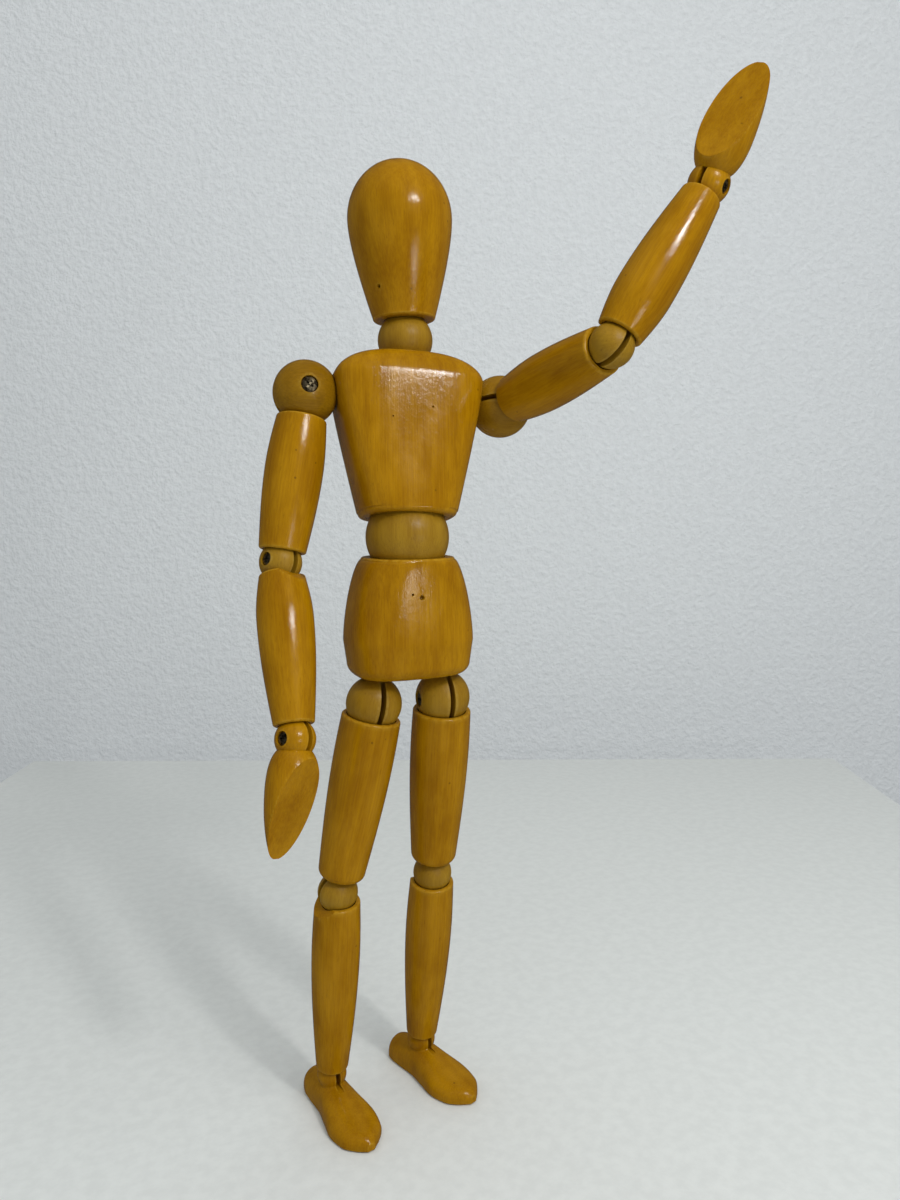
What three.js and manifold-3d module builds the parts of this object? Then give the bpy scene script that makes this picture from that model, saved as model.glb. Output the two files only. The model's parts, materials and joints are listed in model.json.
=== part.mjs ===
// Jointed wooden drawing figure, about 300 mm tall, standing on both feet with its left arm raised.
// Turned hardwood limbs hang on ball joints. Each ball has a saw-cut slot with a flat steel tongue in it,
// clamped by a cross screw, and turns on a steel pin in the limb before it.
// Millimetres, +Z up. The figure faces -Y with its right side at -X and stands on z = 0.

import * as THREE from 'three';
import { mergeVertices } from 'three/addons/utils/BufferGeometryUtils.js';
import Module from 'manifold-3d';

// Clearance between pieces that move on or seat in each other
const GAP = 0.3;

// Ball joints, radii
const NECK_BALL_R = 8.4;
const WAIST_BALL_R = 12.6;
const SHOULDER_BALL_R = 9.6;
const ELBOW_BALL_R = 6.2;
const WRIST_BALL_R = 5.7;
const HIP_BALL_R = 8.5;
const KNEE_BALL_R = 6.3;
const ANKLE_BALL_R = 4.8;

// Joint hardware. A saw cut crosses each ball from its lower side to past the screw, and runs on
// towards the upper side around a core of wood that holds the pin. A knee's cut is closed in front,
// so that the shin leans only a little past straight.
const SLOT_WIDTH = 1.6;
const SLOT_PAST_SCREW = 3.0;
const SLOT_RISE = 0.86;
const PIN_CORE_WALL = 1.2;
const EYE_R = 2.3;
const TONGUE_WIDTH = 2.6;
const TONGUE_GRIP = 7;
const SCREW_SHANK_R = 0.95;
const SCREW_HEAD_HEIGHT = 1.3;
const SCREW_HEAD_DEPTH = 0.5;
const SCREW_CROWN = 0.7;
const LARGE_HEAD_R = 2.2;
const SMALL_HEAD_R = 1.7;
const SCREW_END_COVER = 2.2;
const PIN_R = 1.1;
const PIN_GRIP = 8;
const PIN_END_WALL = 0.8;
const AXLE_WALL = 1.2;
const TENON_R = 3;
const TENON_LENGTH = 8;
const HIP_SWAY_ROOM = 20;
const NOD_ROOM = 24;
const KNEE_PAST_STRAIGHT = 20;

// Head: an egg of revolution standing on a flat base
const HEAD_HEIGHT = 47.2;
const HEAD_R = 15.9;
const HEAD_WIDEST = 30;
const HEAD_BASE_R = 9.6;
const HEAD_BASE_CHAMFER = 0.8;
const HEAD_TAPER_PULL = 22;

// Thorax: half sizes of its rounded section at the waist, at the shoulders and at the neck, how square
// each section is, and how near the crown's slope is to a straight chamfer
const THORAX_HEIGHT = 48.7;
const THORAX_WAIST_W = 14.6;
const THORAX_WAIST_D = 13.4;
const THORAX_WAIST_SQUARE = 2.7;
const THORAX_SHOULDER_W = 22.8;
const THORAX_SHOULDER_D = 13;
const THORAX_SHOULDER_SQUARE = 4.6;
const THORAX_TOP_W = 11.4;
const THORAX_TOP_D = 9;
const THORAX_TOP_SQUARE = 2.6;
const THORAX_CROWN = 7.8;
const THORAX_CROWN_SLOPE = 1.15;
const THORAX_EDGE = 1.4;
const SHOULDER_HEIGHT = 36.2;
const SHOULDER_SPREAD = 61;

// Pelvis: half sizes at the waist, at its widest and at the hips, how square the sections are, and how
// near the flank above the hips is to a straight slope
const PELVIS_HEIGHT = 36.1;
const PELVIS_WAIST_W = 13.9;
const PELVIS_WAIST_D = 13;
const PELVIS_WAIST_SQUARE = 2.4;
const PELVIS_W = 19.4;
const PELVIS_D = 14;
const PELVIS_SQUARE = 3;
const PELVIS_SLOPE = 1.3;
const PELVIS_WIDEST = 11;
const PELVIS_HIP_W = 18.5;
const PELVIS_HIP_D = 13.2;
const PELVIS_EDGE = 3.6;
const HIP_SPREAD = 22.6;
const HIP_DROP = 8.2;

// Half of the band of ball that shows at the neck and at the waist
const NECK_BAND = 6;
const WAIST_BAND = 5.9;

// Limbs: length between ball centres, end and largest radii, place of the swell, rims and rounding
const UPPER_ARM = 51;
const UPPER_ARM_TOP_R = 7.4;
const UPPER_ARM_R = 8.5;
const UPPER_ARM_END_R = 6.9;
const FOREARM = 51.5;
const FOREARM_TOP_R = 6.6;
const FOREARM_R = 8.1;
const FOREARM_END_R = 5.8;
const THIGH = 62;
const THIGH_TOP_R = 9.1;
const THIGH_R = 9.3;
const THIGH_END_R = 7.4;
const SHIN = 66.5;
const SHIN_TOP_R = 7.2;
const SHIN_R = 7.7;
const SHIN_END_R = 5.3;
const ARM_SWELL_AT = 0.38;
const FOREARM_SWELL_AT = 0.3;
const THIGH_SWELL_AT = 0.22;
const SHIN_SWELL_AT = 0.28;
const SOCKET_WALL = 1.3;
const CRISP_EDGE = 0.7;
const KNEE_ROUND = 2.6;
const ELBOW_BEVEL = 45;
const KNEE_BEVEL = 42;

// Hand: a turned spindle cut flat across the palm
const HAND_LENGTH = 32.6;
const HAND_R = 7.4;
const HAND_WIDEST = 14;
const HAND_NECK_R = 4.3;
const HAND_NECK_SUNK = 0.7;
const HAND_TIP_R = 2.6;
const HAND_TIP_FLAT = 0.7;
const PALM_START = 6.5;
const PALM_START_DEPTH = 5.6;
const PALM_TIP_DEPTH = -0.4;

// Foot: a shoe-last with a flat sole, lengths measured forward from the ankle
const ANKLE_HEIGHT = 11.4;
const FOOT_HEEL = 14;
const FOOT_TOE = 26.2;
const FOOT_HEEL_W = 5.8;
const FOOT_WAIST_W = 6;
const FOOT_BALL_W = 8.7;
const FOOT_BALL_AT = 14;
const FOOT_TOE_ROUND = 2.4;
const FOOT_HEEL_HEIGHT = 8.4;
const FOOT_INSTEP_HEIGHT = 10;
const FOOT_TOE_HEIGHT = 5.2;
const FOOT_SOLE_EDGE = 0.08;
const FOOT_SIDE_FULLNESS = 0.7;

// Stance: ankle places on the floor, foot headings (to the figure's left), side that each knee points to
const RIGHT_ANKLE_ASIDE = 22.7;
const RIGHT_ANKLE_BACK = 14.8;
const LEFT_ANKLE_ASIDE = 11.5;
const LEFT_ANKLE_BACK = 21.2;
const RIGHT_FOOT_HEADING = 11;
const LEFT_FOOT_HEADING = 20;
const RIGHT_KNEE_HEADING = -86;
const LEFT_KNEE_HEADING = 0;
const LEG_STRAIGHTNESS = 0.99995;

// Pose of the body and arms, in degrees
const WAIST = { swivel: -20, nod: -10.9, turn: 13.4 };
const NECK = { swivel: -28, nod: 8.3, turn: 28 };
const RIGHT_ARM = { shoulder: [0.3, 81.8], elbow: [-52.6, 18], wrist: [2, -11] };
const LEFT_ARM = { shoulder: [94.8, 73.7], elbow: [116.2, 68], wrist: [240, 23] };

// Facets round a turned piece, a ball and a piece of hardware
const TURNED_SIDES = 12;
const BALL_SIDES = 12;
const NECK_SIDES = 14;
const WAIST_SIDES = 18;
const BODY_SIDES = 18;
const FOOT_SIDES = 14;
const STEEL_SIDES = 6;
const HEAD_SIDES = 8;

// Steps along the curves of a profile
const BARREL_STEPS = 5;
const HEAD_STEPS = 5;
const HAND_STEPS = 5;
const CROWN_STEPS = 4;
const EDGE_STEPS = 2;

const DEG = Math.PI / 180;
const SLOT_PLAY = SLOT_WIDTH - 2 * GAP;
const STEM_BORE_R = Math.hypot(TONGUE_WIDTH / 2, SLOT_PLAY / 2) + GAP;
const PIN_BORE_R = PIN_R + GAP;
const SCREW_BORE_R = SCREW_SHANK_R + GAP;
const PIN_START = SLOT_PAST_SCREW + PIN_END_WALL;
// The neck's tongue ends a wall above the shoulder axle
const AXLE_TOP = SHOULDER_HEIGHT + PIN_BORE_R + AXLE_WALL;
const NECK_GRIP = THORAX_HEIGHT + NECK_BAND - NECK_BALL_R - 2 * GAP - AXLE_TOP;

const varnish = { color: 0xc08a24, roughness: 0.28, metalness: 0 };
const bareWood = { color: 0xc7a262, roughness: 0.75, metalness: 0 };
const steel = { color: 0x8b8677, roughness: 0.4, metalness: 1 };

const wasm = await Module();
wasm.setup();

// A closed geometry as a solid that can be cut and joined
function solid(geometry) {
  const bare = geometry.clone();
  bare.deleteAttribute('normal');
  bare.deleteAttribute('uv');
  const merged = mergeVertices(bare, 1e-4);
  const corners = merged.index.array;
  const triangles = [];
  for (let i = 0; i < corners.length; i += 3) {
    const triangle = corners.slice(i, i + 3);
    if (new Set(triangle).size === 3) triangles.push(...triangle);
  }
  const vertProperties = new Float32Array(merged.attributes.position.array);
  const triVerts = new Uint32Array(triangles);
  return new wasm.Manifold(new wasm.Mesh({ numProp: 3, vertProperties, triVerts }));
}

function geometryOf(body) {
  const mesh = body.getMesh();
  const geometry = new THREE.BufferGeometry();
  geometry.setAttribute('position', new THREE.BufferAttribute(mesh.vertProperties, 3));
  geometry.setIndex(new THREE.BufferAttribute(mesh.triVerts, 1));
  geometry.computeVertexNormals();
  return geometry;
}

// A body of revolution about Z from a profile of (radius, height) points that rises from axis to axis
function turned(profile, sides = TURNED_SIDES) {
  return solid(new THREE.LatheGeometry(profile, sides).rotateX(90 * DEG));
}

function ball(radius, sides = BALL_SIDES) {
  return solid(new THREE.SphereGeometry(radius, sides, sides / 2).rotateX(90 * DEG));
}

// A round bar or bore along Z between two heights
function rod(radius, low, high, sides = STEEL_SIDES) {
  const bar = new THREE.CylinderGeometry(radius, radius, high - low, sides).rotateX(90 * DEG);
  return solid(bar.translate(0, 0, (low + high) / 2));
}

// A round bar or bore along X
function crossRod(radius, from, to, sides = STEEL_SIDES) {
  const bar = new THREE.CylinderGeometry(radius, radius, to - from, sides).rotateZ(90 * DEG);
  return solid(bar.translate((from + to) / 2, 0, 0));
}

function block(width, depth, low, high) {
  const box = new THREE.BoxGeometry(width, depth, high - low);
  return solid(box.translate(0, 0, (low + high) / 2));
}

// A wedge that holds everything on the +Y side above a plane through the X axis, tilted down by an angle
function bevelWedge(angle, reach) {
  const edge = new THREE.Shape();
  edge.moveTo(0, reach);
  edge.lineTo(0, 0);
  edge.lineTo(reach, -reach * Math.tan(angle * DEG));
  edge.lineTo(reach, reach);
  const wedge = new THREE.ExtrudeGeometry(edge, { depth: 2 * reach, bevelEnabled: false });
  return solid(wedge.translate(0, 0, -reach).rotateX(90 * DEG).rotateZ(90 * DEG));
}

// A skin through closed rings of points, capped at both ends
function loft(rings) {
  const count = rings[0].length;
  const points = [...rings.flat(), centre(rings[0]), centre(rings.at(-1))];
  const faces = [];
  for (let i = 0; i < count; i++) {
    const next = (i + 1) % count;
    for (let k = 0; k < rings.length - 1; k++) {
      const low = k * count;
      const high = low + count;
      faces.push(low + i, low + next, high + next, low + i, high + next, high + i);
    }
    const last = (rings.length - 1) * count;
    faces.push(points.length - 2, next, i, points.length - 1, last + i, last + next);
  }
  const geometry = new THREE.BufferGeometry().setFromPoints(points);
  return solid(geometry.setIndex(faces));
}

function centre(ring) {
  const sum = ring.reduce((total, point) => total.add(point), new THREE.Vector3());
  return sum.divideScalar(ring.length);
}

// A rounded rectangle as a superellipse ring at one height
function roundedRing(halfWidth, halfDepth, height, squareness) {
  const power = 2 / squareness;
  return Array.from({ length: BODY_SIDES }, (_, i) => {
    const angle = (i / BODY_SIDES) * 2 * Math.PI;
    const x = Math.sign(Math.cos(angle)) * Math.abs(Math.cos(angle)) ** power;
    const y = Math.sign(Math.sin(angle)) * Math.abs(Math.sin(angle)) ** power;
    return new THREE.Vector3(halfWidth * x, halfDepth * y, height);
  });
}

function piece(name, finish, body) {
  const mesh = new THREE.Mesh(geometryOf(body), new THREE.MeshStandardMaterial(finish));
  mesh.name = name;
  return mesh;
}

function frame(name, parent, place = new THREE.Vector3()) {
  const group = new THREE.Group();
  group.name = name;
  group.position.copy(place);
  parent.add(group);
  return group;
}

// Distance from a ball's centre to the rim of a socket whose mouth has the given radius
function rimDistance(ballR, mouthR) {
  return Math.sqrt((ballR + GAP) ** 2 - mouthR ** 2);
}

// Hardware of one slotted ball. The screw runs along X, with its head towards +X or -X,
// and the tongue hangs along -Z from the screw.
function clampScrew(ballR, headR, side) {
  const top = ballR - SCREW_HEAD_DEPTH;
  const seat = top - SCREW_HEAD_HEIGHT;
  const end = -(ballR - SCREW_END_COVER);
  const profile = [
    new THREE.Vector2(0, end),
    new THREE.Vector2(SCREW_SHANK_R, end),
    new THREE.Vector2(SCREW_SHANK_R, seat),
    new THREE.Vector2(headR, seat),
    new THREE.Vector2(headR, top - SCREW_HEAD_HEIGHT / 2),
    new THREE.Vector2(headR * SCREW_CROWN, top),
    new THREE.Vector2(0, top),
  ];
  const screw = new THREE.LatheGeometry(profile, HEAD_SIDES).rotateZ(-90 * side * DEG);
  return solid(screw);
}

function screwBore(ballR, headR, side) {
  const seat = ballR - SCREW_HEAD_DEPTH - SCREW_HEAD_HEIGHT - GAP;
  const end = -(ballR - SCREW_END_COVER + GAP);
  const shank = side > 0 ? crossRod(SCREW_BORE_R, end, ballR) : crossRod(SCREW_BORE_R, -ballR, -end);
  const outer = ballR + GAP;
  const [from, to] = side > 0 ? [seat, outer] : [-outer, -seat];
  const head = crossRod(headR + GAP, from, to, HEAD_SIDES);
  return shank.add(head);
}

function tongue(ballR, grip = TONGUE_GRIP) {
  const low = -(ballR + GAP + grip);
  const eye = crossRod(EYE_R, -SLOT_PLAY / 2, SLOT_PLAY / 2);
  const stem = block(SLOT_PLAY, TONGUE_WIDTH, low, -EYE_R / 2);
  return eye.add(stem).subtract(crossRod(SCREW_BORE_R, -SLOT_WIDTH, SLOT_WIDTH));
}

function tongueBore(ballR, grip = TONGUE_GRIP) {
  return rod(STEM_BORE_R, -(ballR + grip + 2 * GAP), 0);
}

function swivelPin(ballR) {
  return rod(PIN_R, PIN_START + GAP, ballR + GAP + PIN_GRIP);
}

// The wood left standing in front of a saw cut, where the tongue may only lean forward by an angle
function frontWall(ballR, lean) {
  const reach = 2 * ballR;
  const eyeRoom = EYE_R + GAP;
  const wall = new THREE.Shape();
  wall.moveTo(-eyeRoom, reach);
  wall.lineTo(-2 * reach, reach);
  wall.lineTo(-2 * reach, -reach);
  wall.lineTo(-eyeRoom - reach * Math.tan(lean * DEG), -reach);
  wall.lineTo(-eyeRoom, 0);
  const cut = new THREE.ExtrudeGeometry(wall, { depth: 2 * SLOT_WIDTH, bevelEnabled: false });
  return solid(cut.translate(0, 0, -SLOT_WIDTH).rotateX(90 * DEG).rotateZ(90 * DEG));
}

// A ball that turns on a pin above it and clamps a tongue below it
function slottedBall({ ballR, headR, headSide, frontLean }) {
  const core = block(2 * SLOT_WIDTH, 2 * (PIN_BORE_R + PIN_CORE_WALL), SLOT_PAST_SCREW, 2 * ballR);
  let slot = block(SLOT_WIDTH, 3 * ballR, -2 * ballR, SLOT_RISE * ballR).subtract(core);
  if (frontLean) slot = slot.subtract(frontWall(ballR, frontLean));
  const pinBore = rod(PIN_BORE_R, PIN_START, 2 * ballR);
  return ball(ballR).subtract(slot).subtract(pinBore).subtract(screwBore(ballR, headR, headSide));
}

// A ball with a tenon above and a pocket below, so that no slot shows on its band
function pocketBall(ballR, sides) {
  const fan = new THREE.Shape();
  fan.absarc(0, 0, EYE_R + GAP, 0, Math.PI, false);
  const depth = 2 * ballR;
  const spread = EYE_R + GAP + depth * Math.tan(NOD_ROOM * DEG);
  fan.lineTo(-spread, -depth);
  fan.lineTo(spread, -depth);
  const cut = new THREE.ExtrudeGeometry(fan, { depth: SLOT_WIDTH, bevelEnabled: false, curveSegments: 6 });
  const pocket = solid(cut.translate(0, 0, -SLOT_WIDTH / 2).rotateX(90 * DEG).rotateZ(90 * DEG));
  const crossBore = crossRod(SCREW_BORE_R, -2 * ballR, 2 * ballR);
  const tenon = rod(TENON_R, 0, ballR + GAP + TENON_LENGTH, HEAD_SIDES);
  return ball(ballR, sides).add(tenon).subtract(pocket).subtract(crossBore);
}

function crossPin(ballR) {
  return crossRod(SCREW_SHANK_R, -(ballR - GAP), ballR - GAP);
}

// A cup whose facets clear a ball all round
function socket(ballR, sides = BALL_SIDES) {
  return ball((ballR + GAP) / Math.cos(Math.PI / sides) ** 2, sides);
}

// A turned limb along -Z from one ball centre to the next, with a cup for a ball at each end
function limb(length, upper, lower, largestR, swellAt) {
  const top = -rimDistance(upper.ballR, upper.radius - SOCKET_WALL);
  const bottom = -length + rimDistance(lower.ballR, lower.radius - SOCKET_WALL - lower.round + CRISP_EDGE);
  const upperEdge = top - upper.round;
  const lowerEdge = bottom + lower.round;
  const profile = [new THREE.Vector2(0, bottom)];
  for (let i = 0; i <= EDGE_STEPS; i++) {
    const angle = (i / EDGE_STEPS) * 90 * DEG;
    const radius = lower.radius - lower.round * (1 - Math.sin(angle));
    profile.push(new THREE.Vector2(radius, lowerEdge - lower.round * Math.cos(angle)));
  }
  for (let i = 1; i < BARREL_STEPS; i++) {
    const t = i / BARREL_STEPS;
    const down = 1 - t;
    const rise = down < swellAt
      ? upper.radius + (largestR - upper.radius) * Math.sin((down / swellAt) * 90 * DEG)
      : lower.radius + (largestR - lower.radius) * Math.cos(((down - swellAt) / (1 - swellAt)) * 90 * DEG);
    profile.push(new THREE.Vector2(rise, lowerEdge + (upperEdge - lowerEdge) * t));
  }
  for (let i = 0; i <= 1; i++) {
    const angle = i * 90 * DEG;
    const radius = upper.radius - upper.round * (1 - Math.cos(angle));
    profile.push(new THREE.Vector2(radius, upperEdge + upper.round * Math.sin(angle)));
  }
  profile.push(new THREE.Vector2(0, top));
  const body = turned(profile).subtract(socket(upper.ballR));
  return body.subtract(socket(lower.ballR).translate(0, 0, -length));
}

// Bore in a limb's lower end for the swivel pin of the ball below it
function pinBoreAt(length, ballR) {
  return rod(PIN_BORE_R, -length, -length + ballR + PIN_GRIP + 2 * GAP);
}

function upperArmBody() {
  const upper = { ballR: SHOULDER_BALL_R, radius: UPPER_ARM_TOP_R, round: CRISP_EDGE };
  const lower = { ballR: ELBOW_BALL_R, radius: UPPER_ARM_END_R, round: CRISP_EDGE };
  return limb(UPPER_ARM, upper, lower, UPPER_ARM_R, ARM_SWELL_AT)
    .subtract(tongueBore(SHOULDER_BALL_R))
    .subtract(pinBoreAt(UPPER_ARM, ELBOW_BALL_R));
}

function forearmBody() {
  const upper = { ballR: ELBOW_BALL_R, radius: FOREARM_TOP_R, round: CRISP_EDGE };
  const lower = { ballR: WRIST_BALL_R, radius: FOREARM_END_R, round: CRISP_EDGE };
  return limb(FOREARM, upper, lower, FOREARM_R, FOREARM_SWELL_AT)
    .subtract(bevelWedge(ELBOW_BEVEL, FOREARM / 2))
    .subtract(tongueBore(ELBOW_BALL_R))
    .subtract(stemBoreAt(FOREARM, WRIST_BALL_R));
}

function thighBody() {
  const upper = { ballR: HIP_BALL_R, radius: THIGH_TOP_R, round: CRISP_EDGE };
  const lower = { ballR: KNEE_BALL_R, radius: THIGH_END_R, round: KNEE_ROUND };
  return limb(THIGH, upper, lower, THIGH_R, THIGH_SWELL_AT)
    .subtract(tongueBore(HIP_BALL_R))
    .subtract(pinBoreAt(THIGH, KNEE_BALL_R));
}

function shinBody() {
  const upper = { ballR: KNEE_BALL_R, radius: SHIN_TOP_R, round: CRISP_EDGE };
  const lower = { ballR: ANKLE_BALL_R, radius: SHIN_END_R, round: CRISP_EDGE };
  return limb(SHIN, upper, lower, SHIN_R, SHIN_SWELL_AT)
    .subtract(bevelWedge(KNEE_BEVEL, SHIN / 2))
    .subtract(tongueBore(KNEE_BALL_R))
    .subtract(stemBoreAt(SHIN, ANKLE_BALL_R));
}

// Bore in a limb's lower end for the tongue of a hand or foot below it
function stemBoreAt(length, ballR) {
  return rod(STEM_BORE_R, -length, -length + ballR + TONGUE_GRIP + 2 * GAP);
}

// Slot and screw bore of the ball that is one piece with a hand or foot, open upwards to the limb
function openSlot(ballR, headR, side) {
  const slot = block(SLOT_WIDTH, 3 * ballR, -SLOT_PAST_SCREW, 2 * ballR);
  return slot.add(screwBore(ballR, headR, side));
}

function handBody() {
  const neckZ = -HAND_NECK_SUNK * Math.sqrt(WRIST_BALL_R ** 2 - HAND_NECK_R ** 2);
  const wrist = new THREE.Vector2(HAND_NECK_R, neckZ);
  const widest = new THREE.Vector2(HAND_R, -HAND_WIDEST);
  const tipSide = new THREE.Vector2(HAND_TIP_R, -HAND_LENGTH + HAND_TIP_R / 2);
  const halfway = (HAND_TIP_R + HAND_R) / 2;
  const palmBack = new THREE.CubicBezierCurve(
    tipSide,
    new THREE.Vector2(halfway, -(HAND_LENGTH - HAND_WIDEST / 2)),
    new THREE.Vector2(HAND_R, -(HAND_WIDEST + HAND_WIDEST / 2)),
    widest,
  );
  const heel = new THREE.QuadraticBezierCurve(widest, new THREE.Vector2(HAND_R, neckZ * 2), wrist);
  const profile = [
    new THREE.Vector2(0, -HAND_LENGTH),
    new THREE.Vector2(HAND_TIP_R * HAND_TIP_FLAT, -HAND_LENGTH),
    ...palmBack.getPoints(HAND_STEPS),
    ...heel.getPoints(HAND_STEPS - 2).slice(1),
    new THREE.Vector2(0, neckZ),
  ];
  const slope = Math.atan2(PALM_START_DEPTH - PALM_TIP_DEPTH, HAND_LENGTH - PALM_START);
  const palm = new THREE.BoxGeometry(4 * HAND_R, 2 * HAND_R, 4 * HAND_LENGTH)
    .translate(0, HAND_R, 0)
    .rotateX(-slope)
    .translate(0, PALM_START_DEPTH, -PALM_START);
  const spindle = turned(profile).subtract(solid(palm));
  return spindle.add(ball(WRIST_BALL_R)).subtract(openSlot(WRIST_BALL_R, SMALL_HEAD_R, 1));
}

// The last of a foot, in a frame at the ankle with the sole level below it and the toe towards -Y
function footLast() {
  const stations = [
    [FOOT_HEEL, FOOT_HEEL_W * 0.4, FOOT_HEEL_HEIGHT * 0.6],
    [FOOT_HEEL * 0.9, FOOT_HEEL_W * 0.85, FOOT_HEEL_HEIGHT * 0.85],
    [FOOT_HEEL * 0.6, FOOT_HEEL_W, FOOT_HEEL_HEIGHT],
    [0, FOOT_WAIST_W, FOOT_INSTEP_HEIGHT],
    [-FOOT_BALL_AT / 2, (FOOT_WAIST_W + FOOT_BALL_W) / 2, FOOT_INSTEP_HEIGHT * 0.85],
    [-FOOT_BALL_AT, FOOT_BALL_W, FOOT_TOE_HEIGHT * 1.25],
    [-(FOOT_BALL_AT + FOOT_TOE) / 2, FOOT_BALL_W * 0.87, FOOT_TOE_HEIGHT],
    [-(FOOT_TOE - FOOT_TOE_ROUND), FOOT_BALL_W * 0.52, FOOT_TOE_HEIGHT * 0.85],
    [-FOOT_TOE, FOOT_BALL_W * 0.15, FOOT_TOE_HEIGHT * 0.5],
  ];
  const rings = stations.map(([forward, halfWidth, height]) => Array.from({ length: FOOT_SIDES }, (_, i) => {
    const angle = (i / (FOOT_SIDES - 1)) * Math.PI;
    const swell = Math.sin(angle) ** FOOT_SIDE_FULLNESS;
    const side = Math.cos(angle) * (1 - FOOT_SOLE_EDGE * (1 - swell));
    return new THREE.Vector3(halfWidth * side, forward, height * swell - ANKLE_HEIGHT);
  }));
  return loft(rings);
}

function headBody() {
  const base = NECK_BAND;
  const crown = HEAD_HEIGHT - HEAD_WIDEST;
  const jaw = new THREE.QuadraticBezierCurve(
    new THREE.Vector2(HEAD_BASE_R, base + HEAD_BASE_CHAMFER),
    new THREE.Vector2(HEAD_R, base + HEAD_TAPER_PULL),
    new THREE.Vector2(HEAD_R, base + HEAD_WIDEST),
  );
  const profile = [
    new THREE.Vector2(0, base),
    new THREE.Vector2(HEAD_BASE_R - HEAD_BASE_CHAMFER, base),
    ...jaw.getPoints(HEAD_STEPS),
  ];
  for (let i = 1; i < HEAD_STEPS; i++) {
    const angle = (i / HEAD_STEPS) * 90 * DEG;
    const height = base + HEAD_WIDEST + crown * Math.sin(angle);
    profile.push(new THREE.Vector2(HEAD_R * Math.cos(angle), height));
  }
  profile.push(new THREE.Vector2(0, base + HEAD_HEIGHT));
  return turned(profile, BODY_SIDES)
    .subtract(socket(NECK_BALL_R, NECK_SIDES))
    .subtract(tenonBore(NECK_BALL_R));
}

function tenonBore(ballR) {
  return rod(TENON_R + GAP, 0, ballR + TENON_LENGTH + 2 * GAP, HEAD_SIDES);
}

// Sections of the thorax from waist to neck, in a frame at the waist ball's centre
function thoraxBody() {
  const base = WAIST_BAND;
  const flank = (share) => THORAX_WAIST_W + (THORAX_SHOULDER_W - THORAX_WAIST_W) * share;
  const front = (share) => THORAX_WAIST_D + (THORAX_SHOULDER_D - THORAX_WAIST_D) * share;
  const chest = THORAX_HEIGHT - THORAX_CROWN;
  const shoulderSquare = THORAX_SHOULDER_SQUARE;
  const midSquare = (THORAX_WAIST_SQUARE + shoulderSquare) / 2;
  const rings = [
    roundedRing(THORAX_WAIST_W - THORAX_EDGE, THORAX_WAIST_D - THORAX_EDGE, base, THORAX_WAIST_SQUARE),
    roundedRing(THORAX_WAIST_W, THORAX_WAIST_D, base + THORAX_EDGE, THORAX_WAIST_SQUARE),
    roundedRing(flank(0.55), front(0.5), base + chest * 0.5, midSquare),
    roundedRing(flank(0.95), front(0.9), base + chest * 0.88, shoulderSquare),
    roundedRing(THORAX_SHOULDER_W, THORAX_SHOULDER_D, base + chest, shoulderSquare),
  ];
  for (let i = 1; i <= CROWN_STEPS; i++) {
    const angle = (i / CROWN_STEPS) * 90 * DEG;
    const inset = 1 - Math.cos(angle) ** THORAX_CROWN_SLOPE;
    const width = THORAX_SHOULDER_W + (THORAX_TOP_W - THORAX_SHOULDER_W) * inset;
    const depth = THORAX_SHOULDER_D + (THORAX_TOP_D - THORAX_SHOULDER_D) * inset;
    const height = base + chest + THORAX_CROWN * Math.sin(angle) ** THORAX_CROWN_SLOPE;
    const square = shoulderSquare + (THORAX_TOP_SQUARE - shoulderSquare) * inset;
    rings.push(roundedRing(width, depth, height, square));
  }
  const axle = crossRod(PIN_BORE_R, -SHOULDER_SPREAD, SHOULDER_SPREAD);
  let body = loft(rings)
    .subtract(socket(WAIST_BALL_R, WAIST_SIDES))
    .subtract(tenonBore(WAIST_BALL_R))
    .subtract(axle.translate(0, 0, base + SHOULDER_HEIGHT));
  for (const side of [-1, 1]) {
    const seat = socket(SHOULDER_BALL_R);
    body = body.subtract(seat.translate(side * SHOULDER_SPREAD / 2, 0, base + SHOULDER_HEIGHT));
  }
  const neckZ = base + THORAX_HEIGHT + NECK_BAND;
  return body
    .subtract(socket(NECK_BALL_R, NECK_SIDES).translate(0, 0, neckZ))
    .subtract(tongueBore(NECK_BALL_R, NECK_GRIP).translate(0, 0, neckZ));
}

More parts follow.
